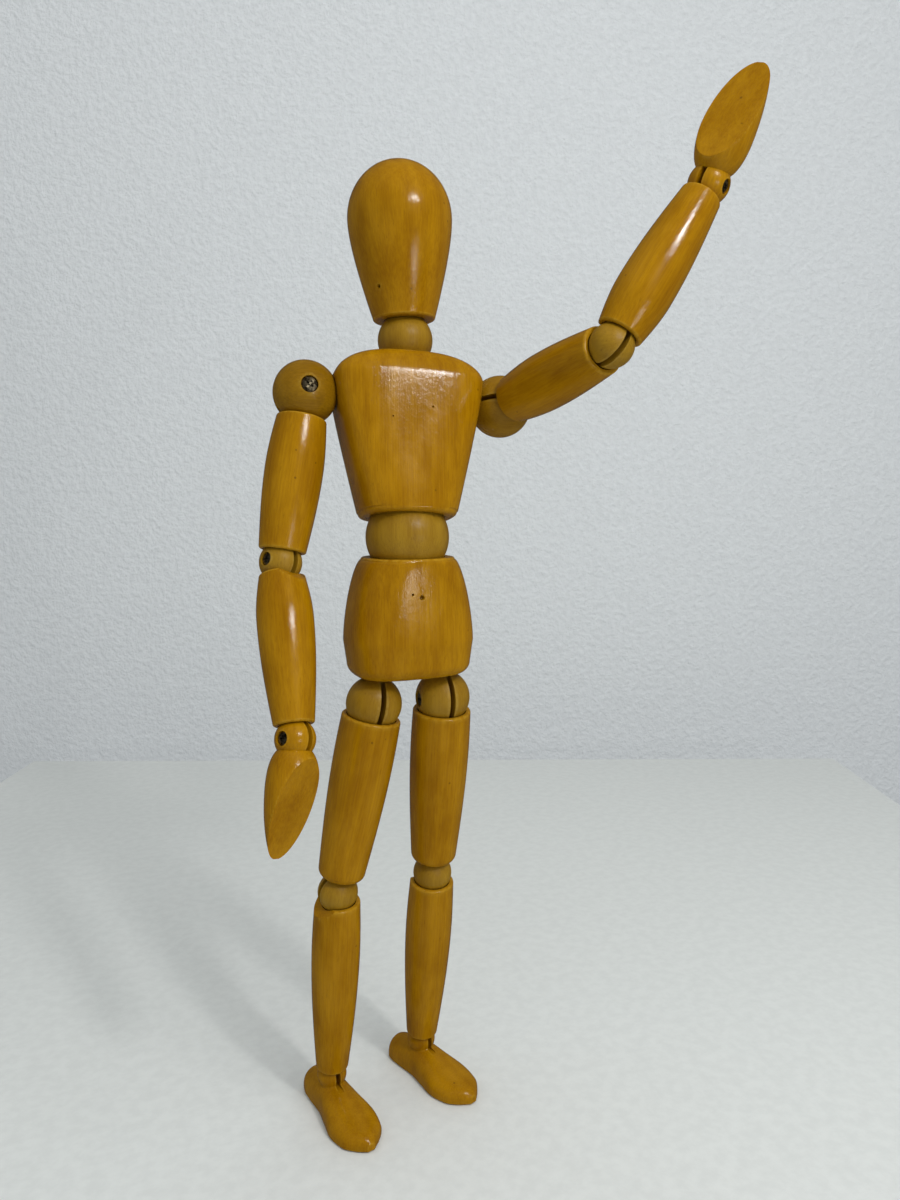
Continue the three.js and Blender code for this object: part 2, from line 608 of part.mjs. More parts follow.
// Sections of the pelvis from the hips up to the waist, in a frame midway between the hip balls
function pelvisBody() {
  const base = HIP_DROP;
  const rings = [];
  for (let i = 0; i <= EDGE_STEPS; i++) {
    const angle = (i / EDGE_STEPS) * 90 * DEG;
    const inset = PELVIS_EDGE * (1 - Math.sin(angle));
    const height = base + PELVIS_EDGE * (1 - Math.cos(angle));
    rings.push(roundedRing(PELVIS_HIP_W - inset, PELVIS_HIP_D - inset, height, PELVIS_SQUARE));
  }
  rings.push(roundedRing(PELVIS_W, PELVIS_D, base + PELVIS_WIDEST, PELVIS_SQUARE));
  for (let i = 1; i <= CROWN_STEPS; i++) {
    const angle = (i / CROWN_STEPS) * 90 * DEG;
    const inset = 1 - Math.cos(angle) ** PELVIS_SLOPE;
    const width = PELVIS_W + (PELVIS_WAIST_W - PELVIS_W) * inset;
    const depth = PELVIS_D + (PELVIS_WAIST_D - PELVIS_D) * inset;
    const rise = (PELVIS_HEIGHT - PELVIS_WIDEST) * Math.sin(angle) ** PELVIS_SLOPE;
    const square = PELVIS_SQUARE + (PELVIS_WAIST_SQUARE - PELVIS_SQUARE) * inset;
    rings.push(roundedRing(width, depth, base + PELVIS_WIDEST + rise, square));
  }
  let body = loft(rings);
  for (const side of [-1, 1]) {
    const x = side * HIP_SPREAD / 2;
    body = body.subtract(socket(HIP_BALL_R).translate(x, 0, 0)).subtract(swayBore().translate(x, 0, 0));
  }
  const waistZ = base + PELVIS_HEIGHT + WAIST_BAND;
  return body
    .subtract(socket(WAIST_BALL_R, WAIST_SIDES).translate(0, 0, waistZ))
    .subtract(tongueBore(WAIST_BALL_R).translate(0, 0, waistZ));
}

// A bore that widens upwards along X, so that a hip pin can lean sideways in it
function swayBore() {
  const top = HIP_BALL_R + PIN_GRIP + 2 * GAP;
  const lean = top * Math.tan(HIP_SWAY_ROOM * DEG);
  const mouth = new THREE.Shape();
  mouth.moveTo(-PIN_BORE_R, 0);
  mouth.lineTo(PIN_BORE_R, 0);
  mouth.lineTo(PIN_BORE_R + lean, top);
  mouth.lineTo(-PIN_BORE_R - lean, top);
  const cut = new THREE.ExtrudeGeometry(mouth, { depth: 2 * PIN_BORE_R, bevelEnabled: false });
  return solid(cut.translate(0, 0, -PIN_BORE_R).rotateX(90 * DEG));
}

// Where a knee lies, from the hip and ankle places and the direction that it points to
function kneePlace(hip, ankle, heading) {
  const along = ankle.clone().sub(hip);
  const reach = along.length();
  along.normalize();
  const toKnee = (THIGH ** 2 - SHIN ** 2 + reach ** 2) / (2 * reach);
  const out = new THREE.Vector3(Math.sin(heading * DEG), -Math.cos(heading * DEG), 0);
  out.addScaledVector(along, -out.dot(along)).normalize();
  const offset = Math.sqrt(Math.max(0, THIGH ** 2 - toKnee ** 2));
  return hip.clone().addScaledVector(along, toKnee).addScaledVector(out, offset);
}

// A target in a joint's own frame
function seenFrom(joint, target) {
  joint.updateWorldMatrix(true, false);
  return joint.worldToLocal(target.clone()).normalize();
}

// Neck or waist: the tongue turns in the piece below, the ball nods on it, the piece above turns on the ball
function bandJoint(name, parent, height, { ballR, sides, grip }, pose) {
  const swivelFrame = frame(`${name}_swivel`, parent, new THREE.Vector3(0, 0, height));
  swivelFrame.rotation.z = pose.swivel * DEG;
  swivelFrame.add(piece(`${name}_tongue`, steel, tongue(ballR, grip)));
  const nodFrame = frame(`${name}_nod`, swivelFrame);
  nodFrame.rotation.x = pose.nod * DEG;
  nodFrame.add(piece(`${name}_ball`, bareWood, pocketBall(ballR, sides)));
  nodFrame.add(piece(`${name}_cross_pin`, steel, crossPin(ballR)));
  const turnFrame = frame(`${name}_turn`, nodFrame);
  turnFrame.rotation.z = pose.turn * DEG;
  return turnFrame;
}

const figure = new THREE.Group();
figure.name = 'wooden_figure';

const legs = [
  {
    name: 'right',
    side: -1,
    ankle: new THREE.Vector3(-RIGHT_ANKLE_ASIDE, RIGHT_ANKLE_BACK, ANKLE_HEIGHT),
    foot: RIGHT_FOOT_HEADING,
    knee: RIGHT_KNEE_HEADING,
  },
  {
    name: 'left',
    side: 1,
    ankle: new THREE.Vector3(LEFT_ANKLE_ASIDE, LEFT_ANKLE_BACK, ANKLE_HEIGHT),
    foot: LEFT_FOOT_HEADING,
    knee: LEFT_KNEE_HEADING,
  },
];
const arms = [
  { name: 'right', side: -1, pose: RIGHT_ARM },
  { name: 'left', side: 1, pose: LEFT_ARM },
];

// The pelvis is as high as the straighter leg lets it stand
const legReach = LEG_STRAIGHTNESS * (THIGH + SHIN);
const hipRises = legs.map((leg) => {
  const spread = Math.hypot(leg.ankle.x - leg.side * HIP_SPREAD / 2, leg.ankle.y);
  return Math.sqrt(legReach ** 2 - spread ** 2);
});
const pelvis = frame('pelvis_frame', figure, new THREE.Vector3(0, 0, ANKLE_HEIGHT + Math.min(...hipRises)));
pelvis.add(piece('pelvis', varnish, pelvisBody()));

// Waist and thorax
const waistZ = HIP_DROP + PELVIS_HEIGHT + WAIST_BAND;
const waist = { ballR: WAIST_BALL_R, sides: WAIST_SIDES, grip: TONGUE_GRIP };
const thorax = bandJoint('waist', pelvis, waistZ, waist, WAIST);
thorax.add(piece('thorax', varnish, thoraxBody()));
const axleReach = SHOULDER_SPREAD / 2 - PIN_START - GAP;
const shoulderZ = WAIST_BAND + SHOULDER_HEIGHT;
const axle = piece('shoulder_axle', steel, crossRod(PIN_R, -axleReach, axleReach));
axle.position.z = shoulderZ;
thorax.add(axle);

// Neck and head
const neckZ = WAIST_BAND + THORAX_HEIGHT + NECK_BAND;
const neck = { ballR: NECK_BALL_R, sides: NECK_SIDES, grip: NECK_GRIP };
const head = bandJoint('neck', thorax, neckZ, neck, NECK);
head.add(piece('head', varnish, headBody()));

// Swivel of a ball on its pin, then bend of the next limb about the ball's screw
function ballJoint(name, parent, place, clamp, [swivel, bend]) {
  const { ballR, headR, headSide } = clamp;
  const swivelFrame = frame(`${name}_swivel`, parent, place);
  swivelFrame.rotation.z = swivel;
  swivelFrame.add(piece(`${name}_ball`, bareWood, slottedBall(clamp)));
  swivelFrame.add(piece(`${name}_screw`, steel, clampScrew(ballR, headR, headSide)));
  const bendFrame = frame(`${name}_bend`, swivelFrame);
  bendFrame.rotation.x = bend;
  bendFrame.add(piece(`${name}_tongue`, steel, tongue(ballR)));
  return bendFrame;
}

function pinAt(name, parent, place, ballR) {
  const pin = piece(name, steel, swivelPin(ballR));
  pin.position.copy(place);
  parent.add(pin);
}

// Tongue of a hand or foot, which turns in the limb above, then the bend about its screw
function endJoint(name, parent, place, ballR, [twist, bend]) {
  const twistFrame = frame(`${name}_twist`, parent, place);
  twistFrame.rotation.z = twist;
  twistFrame.add(piece(`${name}_tongue`, steel, tongue(ballR).mirror([0, 0, 1])));
  const bendFrame = frame(`${name}_bend`, twistFrame);
  bendFrame.rotation.x = bend;
  bendFrame.add(piece(`${name}_screw`, steel, clampScrew(ballR, SMALL_HEAD_R, 1)));
  return bendFrame;
}

const radians = (angles) => angles.map((angle) => angle * DEG);

for (const { name, side, pose } of arms) {
  const shoulderPlace = new THREE.Vector3(side * SHOULDER_SPREAD / 2, 0, shoulderZ);
  const shoulder = frame(`${name}_shoulder_seat`, thorax, shoulderPlace);
  const inward = new THREE.Vector3(-side, 0, 0);
  const down = new THREE.Vector3(0, 0, -1);
  shoulder.quaternion.setFromRotationMatrix(
    new THREE.Matrix4().makeBasis(down.clone().cross(inward), down, inward),
  );
  const origin = new THREE.Vector3();
  const shoulderClamp = { ballR: SHOULDER_BALL_R, headR: LARGE_HEAD_R, headSide: -side };
  const upperArm = ballJoint(`${name}_shoulder`, shoulder, origin, shoulderClamp, radians(pose.shoulder));
  upperArm.add(piece(`${name}_upper_arm`, varnish, upperArmBody()));
  const elbow = new THREE.Vector3(0, 0, -UPPER_ARM);
  pinAt(`${name}_elbow_pin`, upperArm, elbow, ELBOW_BALL_R);
  const elbowClamp = { ballR: ELBOW_BALL_R, headR: SMALL_HEAD_R, headSide: -side };
  const forearm = ballJoint(`${name}_elbow`, upperArm, elbow, elbowClamp, radians(pose.elbow));
  forearm.add(piece(`${name}_forearm`, varnish, forearmBody()));
  const wrist = new THREE.Vector3(0, 0, -FOREARM);
  const hand = endJoint(`${name}_wrist`, forearm, wrist, WRIST_BALL_R, radians(pose.wrist));
  hand.add(piece(`${name}_hand`, varnish, handBody()));
}

for (const { name, side, ankle, foot, knee } of legs) {
  const hip = frame(`${name}_hip_seat`, pelvis, new THREE.Vector3(side * HIP_SPREAD / 2, 0, 0));
  hip.rotation.z = 180 * DEG;
  const hipPlace = hip.getWorldPosition(new THREE.Vector3());
  const kneeTarget = kneePlace(hipPlace, ankle, knee);
  const toKnee = seenFrom(hip, kneeTarget);
  const sway = frame(`${name}_hip_sway`, hip);
  sway.rotation.y = Math.atan2(-toKnee.x, -toKnee.z);
  sway.add(piece(`${name}_hip_pin`, steel, swivelPin(HIP_BALL_R)));
  const origin = new THREE.Vector3();
  const hipPose = [0, Math.asin(toKnee.y)];
  const hipClamp = { ballR: HIP_BALL_R, headR: LARGE_HEAD_R, headSide: side };
  const thigh = ballJoint(`${name}_hip`, sway, origin, hipClamp, hipPose);
  thigh.add(piece(`${name}_thigh`, varnish, thighBody()));
  const kneeSeat = new THREE.Vector3(0, 0, -THIGH);
  pinAt(`${name}_knee_pin`, thigh, kneeSeat, KNEE_BALL_R);
  const kneeFrame = frame(`${name}_knee_seat`, thigh, kneeSeat);
  const toAnkle = seenFrom(kneeFrame, ankle);
  const kneePose = [Math.atan2(-side * toAnkle.x, side * toAnkle.y), side * Math.acos(-toAnkle.z)];
  const kneeClamp = { ballR: KNEE_BALL_R, headR: SMALL_HEAD_R, headSide: 1, frontLean: KNEE_PAST_STRAIGHT };
  const shin = ballJoint(`${name}_knee`, kneeFrame, origin, kneeClamp, kneePose);
  shin.add(piece(`${name}_shin`, varnish, shinBody()));

  // The ankle's screw lies across the foot, square to the shin
  const ankleFrame = frame(`${name}_ankle_seat`, shin, new THREE.Vector3(0, 0, -SHIN));
  const level = new THREE.Quaternion().setFromAxisAngle(new THREE.Vector3(0, 0, 1), foot * DEG);
  ankleFrame.updateWorldMatrix(true, false);
  const turnedBack = ankleFrame.getWorldQuaternion(new THREE.Quaternion()).invert();
  const across = new THREE.Vector3(1, 0, 0).applyQuaternion(level).applyQuaternion(turnedBack);
  const twist = Math.atan2(across.y, across.x);
  const upright = new THREE.Vector3(0, 0, 1).applyQuaternion(turnedBack);
  upright.applyAxisAngle(new THREE.Vector3(0, 0, 1), -twist);
  const bend = Math.atan2(-upright.y, upright.z);
  const footFrame = endJoint(`${name}_ankle`, ankleFrame, origin, ANKLE_BALL_R, [twist, bend]);
  footFrame.updateWorldMatrix(true, false);
  const lean = footFrame.getWorldQuaternion(new THREE.Quaternion()).invert().multiply(level);
  const last = geometryOf(footLast()).applyQuaternion(lean);
  const footBody = solid(last).add(ball(ANKLE_BALL_R)).subtract(openSlot(ANKLE_BALL_R, SMALL_HEAD_R, 1));
  footFrame.add(piece(`${name}_foot`, varnish, footBody));
}

// The origin is under the middle of the figure's box
const box = new THREE.Box3().setFromObject(figure, true);
const middle = box.getCenter(new THREE.Vector3());
figure.position.set(-middle.x, -middle.y, -box.min.z);

export default figure;
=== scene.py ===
import json
import math

import bmesh
import bpy
import numpy as np
from mathutils import Matrix, Vector


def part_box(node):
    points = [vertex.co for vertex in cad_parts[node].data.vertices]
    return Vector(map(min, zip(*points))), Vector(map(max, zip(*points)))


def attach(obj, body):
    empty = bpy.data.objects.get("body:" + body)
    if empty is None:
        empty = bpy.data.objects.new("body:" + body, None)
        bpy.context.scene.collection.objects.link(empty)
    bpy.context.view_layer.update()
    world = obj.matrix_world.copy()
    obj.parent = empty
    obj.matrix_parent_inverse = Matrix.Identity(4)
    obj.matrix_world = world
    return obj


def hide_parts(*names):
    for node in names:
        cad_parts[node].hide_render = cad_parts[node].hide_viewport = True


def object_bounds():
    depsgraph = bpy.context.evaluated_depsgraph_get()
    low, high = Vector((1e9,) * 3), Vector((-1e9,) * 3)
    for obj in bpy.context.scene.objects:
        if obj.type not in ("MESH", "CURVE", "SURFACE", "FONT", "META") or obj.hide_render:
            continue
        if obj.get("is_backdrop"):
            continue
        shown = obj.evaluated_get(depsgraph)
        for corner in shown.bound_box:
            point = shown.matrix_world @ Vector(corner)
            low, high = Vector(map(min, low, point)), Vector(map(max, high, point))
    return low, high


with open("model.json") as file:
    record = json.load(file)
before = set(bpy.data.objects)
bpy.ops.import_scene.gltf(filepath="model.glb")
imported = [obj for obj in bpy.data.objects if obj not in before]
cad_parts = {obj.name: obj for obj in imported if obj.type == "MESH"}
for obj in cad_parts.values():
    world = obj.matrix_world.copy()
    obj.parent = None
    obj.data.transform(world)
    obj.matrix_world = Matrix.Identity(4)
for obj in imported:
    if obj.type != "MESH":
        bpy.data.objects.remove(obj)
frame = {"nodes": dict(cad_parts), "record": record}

solid_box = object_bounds()

# The pelvis is the block that everything else hangs on: one piece of hardwood, sawn to a rounded
# oblong, sanded soft at its edges and dipped in honey varnish. It is dished below for the hip balls
# and above for the waist ball, and carries two old nail holes in front.
MM = 0.001
GAP = 0.3
SEAM = 1e-5
joints = {j["name"]: j for j in frame["record"]["behaviour"]["joints"]}


def pivot(joint):
    return Vector(joints[joint]["pos_m"])


def axis_of(joint, towards):
    direction = Vector(joints[joint]["axis"])
    return direction if direction.dot(towards) > 0 else -direction


def bench(place, up, across):
    """The frame a piece is made in: +Z along up, +X as near to across as a right angle allows."""
    z = up.normalized()
    x = (across - z * across.dot(z)).normalized()
    return Matrix.Translation(place) @ Matrix((x, z.cross(x), z)).transposed().to_4x4()


def bare(name, mesh):
    piece = bpy.data.objects.new(name, mesh)
    bpy.context.scene.collection.objects.link(piece)
    return piece


def closed(name, points, faces):
    """A piece from points and faces, with its seams closed and its faces turned outwards."""
    mesh = bpy.data.meshes.new(name)
    mesh.from_pydata([tuple(p) for p in points], [], faces)
    build = bmesh.new()
    build.from_mesh(mesh)
    bmesh.ops.remove_doubles(build, verts=build.verts, dist=SEAM)
    bmesh.ops.recalc_face_normals(build, faces=build.faces)
    build.to_mesh(mesh)
    build.free()
    return bare(name, mesh)


def skin(name, rings):
    """A closed piece through rings of points, in millimetres; a ring of one point is a pole."""
    points, faces = [], []
    for ring in rings:
        first = len(points)
        points.extend(ring)
        if first:
            n, m = len(before), len(ring)
            for i in range(max(n, m)):
                k = (i + 1) % max(n, m)
                if n == 1:
                    faces.append((start, first + k, first + i))
                elif m == 1:
                    faces.append((start + i, start + k, first))
                else:
                    faces.append((start + i, start + k, first + k, first + i))
        before, start = ring, first
    return closed(name, points, faces)


def settled(piece):
    """Turns a piece's modifiers into plain mesh."""
    bpy.context.view_layer.update()
    shown = piece.evaluated_get(bpy.context.evaluated_depsgraph_get())
    mesh = bpy.data.meshes.new_from_object(shown)
    piece.modifiers.clear()
    piece.data = mesh


def worked(piece, operation, tools):
    for tool in tools:
        step = piece.modifiers.new("tool", "BOOLEAN")
        step.operation = operation
        step.solver = "EXACT"
        step.object = tool
    settled(piece)
    for tool in tools:
        bpy.data.meshes.remove(tool.data)


def cut(piece, *tools):
    """Takes the tools away from a piece, both in the same frame, and throws the tools away."""
    worked(piece, "DIFFERENCE", tools)


def circle(radius, height, around):
    t = np.arange(around) * 2 * math.pi / around
    return np.stack([radius * np.cos(t), radius * np.sin(t), np.full(around, height)], 1)


def ball(name, radius, around=72):
    steps = around // 2
    rings = [[(0, 0, -radius)]]
    for tilt in np.arange(1, steps) * math.pi / steps:
        rings.append(circle(radius * math.sin(tilt), -radius * math.cos(tilt), around))
    return skin(name, rings + [[(0, 0, radius)]])


def dish(ball_r, place=(0, 0, 0)):
    """The hollow that a ball turns in."""
    tool = ball("dish", ball_r + GAP)
    tool.data.transform(Matrix.Translation(place))
    return tool


def turned(name, profile, around=96):
    """A turning from a profile of (radius, height) points that starts and ends on the axis."""
    rings = []
    for radius, height in profile:
        on_axis = radius < SEAM
        rings.append([(0, 0, height)] if on_axis else circle(radius, height, around))
    return skin(name, rings)


def nail_hole(place, inward, radius, deep=1.4):
    """A small round pit at a place on a piece's surface."""
    floor_r = 0.6 * radius
    pit = [(0, -deep), (floor_r, -deep), (radius, 0), (radius, deep), (0, deep)]
    tool = turned("nail", pit, 20)
    tool.data.transform(bench(Vector(place), -Vector(inward), Vector((0, 0.1, 1))))
    return tool


def slab(outline, half_width):
    """A tool with the given (y, z) outline, as thick as half_width to each side."""
    n = len(outline)
    points = [(x, y, z) for x in (-half_width, half_width) for y, z in outline]
    sides = [(i, n + i, n + (i + 1) % n, (i + 1) % n) for i in range(n)]
    return closed("slab", points, [tuple(range(n)), tuple(range(2 * n - 1, n - 1, -1))] + sides)


def oblong(half_width, half_depth, height, squareness, around=120):
    """One level of a rounded block."""
    t = np.arange(around) * 2 * math.pi / around
    power = 2 / squareness
    x = half_width * np.sign(np.cos(t)) * np.abs(np.cos(t)) ** power
    y = half_depth * np.sign(np.sin(t)) * np.abs(np.sin(t)) ** power
    return np.stack([x, y, np.full(around, height)], 1)


def between(first, second, share):
    return tuple(a + (b - a) * share for a, b in zip(first, second))


# The wood's own figure, shared by the varnished and the bare pieces: straight fibres, faint rings
# and clouds, short dark pores and a few specks along each piece's "grain", and rubbed edges from
# its "wear".
def node(tree, kind, **values):
    made = tree.nodes.new(kind)
    for key, value in values.items():
        if key in made.inputs:
            made.inputs[key].default_value = value
        else:
            setattr(made, key, value)
    return made


def feed(tree, socket, value):
    if isinstance(value, bpy.types.NodeSocket):
        tree.links.new(value, socket)
    else:
        socket.default_value = value


def ramp(tree, source, low, high, start=0.0, end=1.0):
    """A value that goes smoothly from start, where the source is low, to end, where it is high."""
    made = node(tree, "ShaderNodeMapRange", interpolation_type="SMOOTHSTEP")
    labels = ("Value", "From Min", "From Max", "To Min", "To Max")
    for key, value in zip(labels, (source, low, high, start, end)):
        feed(tree, made.inputs[key], value)
    return made.outputs["Result"]


def maths(tree, operation, first, second):
    made = node(tree, "ShaderNodeMath", operation=operation)
    feed(tree, made.inputs[0], first)
    feed(tree, made.inputs[1], second)
    return made.outputs[0]


def tint(tree, mask, first, second):
    made = node(tree, "ShaderNodeMix", data_type="RGBA")
    for index, value in zip((0, 6, 7), (mask, first, second)):
        feed(tree, made.inputs[index], value)
    return made.outputs[2]


def noise(tree, place, size, detail=3.0, across=1.0, along=1.0):
    """Noise with spots of about 1/size, drawn out along the piece where along is below across."""
    mapped = node(tree, "ShaderNodeMapping", Scale=(across, across, along))
    tree.links.new(place, mapped.inputs["Vector"])
    made = node(tree, "ShaderNodeTexNoise", Scale=size, Detail=detail, Roughness=0.6)
    tree.links.new(mapped.outputs["Vector"], made.inputs["Vector"])
    return made.outputs["Fac"]


def blank_finish(name):
    finish = bpy.data.materials.new(name)
    finish.use_nodes = True
    return finish, finish.node_tree, finish.node_tree.nodes["Principled BSDF"]


def roughen(tree, shader, height, strength, distance):
    """Gives a finish a fine relief, on top of the shape that the mesh has."""
    bump = node(tree, "ShaderNodeBump", Strength=strength, Distance=distance)
    tree.links.new(height, bump.inputs["Height"])
    tree.links.new(bump.outputs["Normal"], shader.inputs["Normal"])


# How much the fibres, the rings and the clouds each lighten the wood
FIBRE_SHARE, RING_SHARE, CLOUD_SHARE = 0.34, 0.16, 0.5
PORE_TONE = (0.09, 0.035, 0.002, 1)
SPECK_TONE = (0.06, 0.025, 0.004, 1)


def wood_figure():
    tree = bpy.data.node_groups.new("wood_figure", "ShaderNodeTree")
    face = tree.interface
    for label in ("Light", "Dark", "Rubbed"):
        face.new_socket(label, in_out="INPUT", socket_type="NodeSocketColor")
    face.new_socket("Pores", in_out="INPUT", socket_type="NodeSocketFloat")
    face.new_socket("Colour", in_out="OUTPUT", socket_type="NodeSocketColor")
    for label in ("Fibre", "Cloud", "Peel"):
        face.new_socket(label, in_out="OUTPUT", socket_type="NodeSocketFloat")
    into, out = tree.nodes.new("NodeGroupInput"), tree.nodes.new("NodeGroupOutput")
    grain = node(tree, "ShaderNodeAttribute", attribute_name="grain").outputs["Vector"]
    wear = node(tree, "ShaderNodeAttribute", attribute_name="wear").outputs["Fac"]
    streaks = noise(tree, grain, size=1.0, detail=5.0, across=2.0, along=0.05)
    lines = ramp(tree, streaks, 0.3, 0.7)
    cloud = noise(tree, grain, size=0.09, detail=4.0, along=0.5)
    rings = node(tree, "ShaderNodeTexWave", Scale=0.06, Distortion=6.0, Detail=3.0)
    drawn = node(tree, "ShaderNodeMapping", Scale=(1.0, 1.0, 0.12))
    tree.links.new(grain, drawn.inputs["Vector"])
    tree.links.new(drawn.outputs["Vector"], rings.inputs["Vector"])
    paleness = maths(tree, "MULTIPLY", lines, FIBRE_SHARE)
    ringed = maths(tree, "MULTIPLY", rings.outputs["Fac"], RING_SHARE)
    paleness = maths(tree, "ADD", paleness, ringed)
    clouded = ramp(tree, cloud, 0.28, 0.72, 0.0, CLOUD_SHARE)
    paleness = maths(tree, "ADD", paleness, clouded)
    colour = tint(tree, paleness, into.outputs["Dark"], into.outputs["Light"])
    dashes = noise(tree, grain, size=1.0, detail=2.0, across=3.2, along=0.3)
    pits = maths(tree, "MULTIPLY", ramp(tree, dashes, 0.6, 0.72), into.outputs["Pores"])
    colour = tint(tree, pits, colour, PORE_TONE)
    speck = node(tree, "ShaderNodeTexVoronoi", Scale=0.13)
    tree.links.new(grain, speck.inputs["Vector"])
    dots = ramp(tree, speck.outputs["Distance"], 0.025, 0.06, 0.55, 0.0)
    colour = tint(tree, dots, colour, SPECK_TONE)
    patches = ramp(tree, noise(tree, grain, size=0.7), 0.35, 0.6, 0.1, 0.6)
    rubbed = maths(tree, "MULTIPLY", wear, patches)
    colour = tint(tree, rubbed, colour, into.outputs["Rubbed"])
    tree.links.new(colour, out.inputs["Colour"])
    tree.links.new(maths(tree, "SUBTRACT", lines, pits), out.inputs["Fibre"])
    tree.links.new(cloud, out.inputs["Cloud"])
    tree.links.new(noise(tree, grain, size=0.75, along=0.6), out.inputs["Peel"])
    return tree


figure_group = wood_figure()


def wood(name, light, dark, rubbed, pores, mirror, shine, peel, fibre):
    """A finish on the wood: tones, roughness from clear to cloudy, and two reliefs in mm."""
    finish, tree, shader = blank_finish(name)
    shader.inputs["Specular IOR Level"].default_value = mirror
    figured = node(tree, "ShaderNodeGroup", node_tree=figure_group)
    for label, tone in zip(("Light", "Dark", "Rubbed"), (light, dark, rubbed)):
        figured.inputs[label].default_value = (*tone, 1)
    figured.inputs["Pores"].default_value = pores
    tree.links.new(figured.outputs["Colour"], shader.inputs["Base Color"])
    sheen = ramp(tree, figured.outputs["Cloud"], 0.3, 0.7, *shine)
    tree.links.new(sheen, shader.inputs["Roughness"])
    relief = maths(tree, "MULTIPLY", figured.outputs["Peel"], peel)
    fibres = maths(tree, "MULTIPLY", figured.outputs["Fibre"], fibre)
    roughen(tree, shader, maths(tree, "ADD", relief, fibres), strength=1.0, distance=MM)
    return finish


varnished = wood(
    "honey_varnish",
    light=(0.47, 0.228, 0.002),
    dark=(0.265, 0.108, 0.001),
    rubbed=(0.5, 0.28, 0.02),
    pores=0.25,
    mirror=0.4,
    shine=(0.1, 0.2),
    peel=0.06,
    fibre=0.014,
)
made_so_far = 0
RUBBED_BEND = (0.5, 1.3)
BROAD_FLAT = 4.0
SHORTEST_SQUARED = 1e-3
SHARP_ANGLE = 36
# Steps through the log from piece to piece, so that no two show the same stretch of its figure
LOG_STEP_X, LOG_STEP_Y, LOG_STEP_Z = 31.0, 17.0, 53.0


def edge_wear(mesh, points):
    """How sharply each point stands out, from 0 on or beside a flat to 1 on a crisp edge."""
    normals = np.empty(len(mesh.vertices) * 3, np.float32)
    mesh.vertices.foreach_get("normal", normals)
    normals = normals.reshape(-1, 3)
    ends = np.empty(len(mesh.edges) * 2, np.int32)
    mesh.edges.foreach_get("vertices", ends)
    a, b = ends.reshape(-1, 2).T
    along = points[b] - points[a]
    length_squared = np.maximum((along * along).sum(1), SHORTEST_SQUARED)
    bend = ((normals[b] - normals[a]) * along).sum(1) / length_squared
    sharpest = np.zeros(len(points), np.float32)
    np.maximum.at(sharpest, a, bend)
    np.maximum.at(sharpest, b, bend)
    for face in mesh.polygons:
        if face.area > BROAD_FLAT:
            sharpest[list(face.vertices)] = 0
    low, high = RUBBED_BEND
    return np.clip((sharpest - low) / (high - low), 0, 1)


def finish_piece(piece, at, finish, slot, body, *stands_for):
    """Puts a piece made in millimetres on its bench into place, with its grain, finish and body."""
    global made_so_far
    made_so_far += 1
    mesh = piece.data
    points = np.empty(len(mesh.vertices) * 3, np.float32)
    mesh.vertices.foreach_get("co", points)
    points = points.reshape(-1, 3)
    n = made_so_far
    from_log = (LOG_STEP_X * (n % 7), LOG_STEP_Y * (n % 5), LOG_STEP_Z * n)
    grain = mesh.attributes.new("grain", "FLOAT_VECTOR", "POINT")
    grain.data.foreach_set("vector", (points + np.array(from_log, np.float32)).ravel())
    wear = mesh.attributes.new("wear", "FLOAT", "POINT")
    wear.data.foreach_set("value", edge_wear(mesh, points))
    mesh.transform(at @ Matrix.Scale(MM, 4))
    mesh.materials.clear()
    mesh.materials.append(finish)
    mesh.polygons.foreach_set("material_index", np.zeros(len(mesh.polygons), np.int32))
    mesh.shade_smooth()
    mesh.set_sharp_from_angle(angle=math.radians(SHARP_ANGLE))
    mesh.name = piece.name
    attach(piece, body)
    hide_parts(*stands_for)


HIP_BALL_R = 8.5
WAIST_BALL_R = 12.6
WAIST_BAND = 5.9
HIP_DROP = 8.2
PELVIS_HEIGHT = 36.1
PELVIS_WIDEST = 11.0
PELVIS_EDGE = 4.2
PELVIS_RIM = 0.7
PELVIS_SLOPE = 1.3
PIN_HOLE = 1.4
PIN_REACH = 17.1
PIN_LEAN = 20
# Half width, half depth and squareness of the block at the hips, at its widest and at the waist
AT_HIPS = (18.5, 13.2, 3.0)
AT_WIDEST = (19.4, 14.0, 3.0)
AT_WAIST = (13.9, 13.0, 2.4)
hip_middle = (pivot("right_hip_sway") + pivot("left_hip_sway")) / 2
hip_spread = (pivot("left_hip_sway") - pivot("right_hip_sway")).length / MM
levels = []
for angle in np.radians(np.linspace(0, 90, 10)):
    wide, deep, square = AT_HIPS
    inset = PELVIS_EDGE * (1 - math.sin(angle))
    levels.append((wide - inset, deep - inset, PELVIS_EDGE * (1 - math.cos(angle)), square))
for share in np.linspace(0.1, 1, 10):
    wide, deep, square = between(AT_HIPS, AT_WIDEST, share)
    levels.append((wide, deep, PELVIS_EDGE + (PELVIS_WIDEST - PELVIS_EDGE) * share, square))
for angle in np.radians(np.linspace(5, 90, 24)):
    wide, deep, square = between(AT_WIDEST, AT_WAIST, 1 - math.cos(angle) ** PELVIS_SLOPE)
    flank = PELVIS_HEIGHT - PELVIS_RIM - PELVIS_WIDEST
    levels.append((wide, deep, PELVIS_WIDEST + flank * math.sin(angle) ** PELVIS_SLOPE, square))
for angle in np.radians(np.linspace(18, 90, 5)):
    wide, deep, square = AT_WAIST
    inset = PELVIS_RIM * (1 - math.cos(angle))
    height = PELVIS_HEIGHT - PELVIS_RIM * (1 - math.sin(angle))
    levels.append((wide - inset, deep - inset, height, square))
pelvis_top = HIP_DROP + PELVIS_HEIGHT
rings = [oblong(wide, deep, HIP_DROP + z, square) for wide, deep, z, square in levels]
pelvis = skin("pelvis_block", [[(0, 0, HIP_DROP)]] + rings + [[(0, 0, pelvis_top)]])


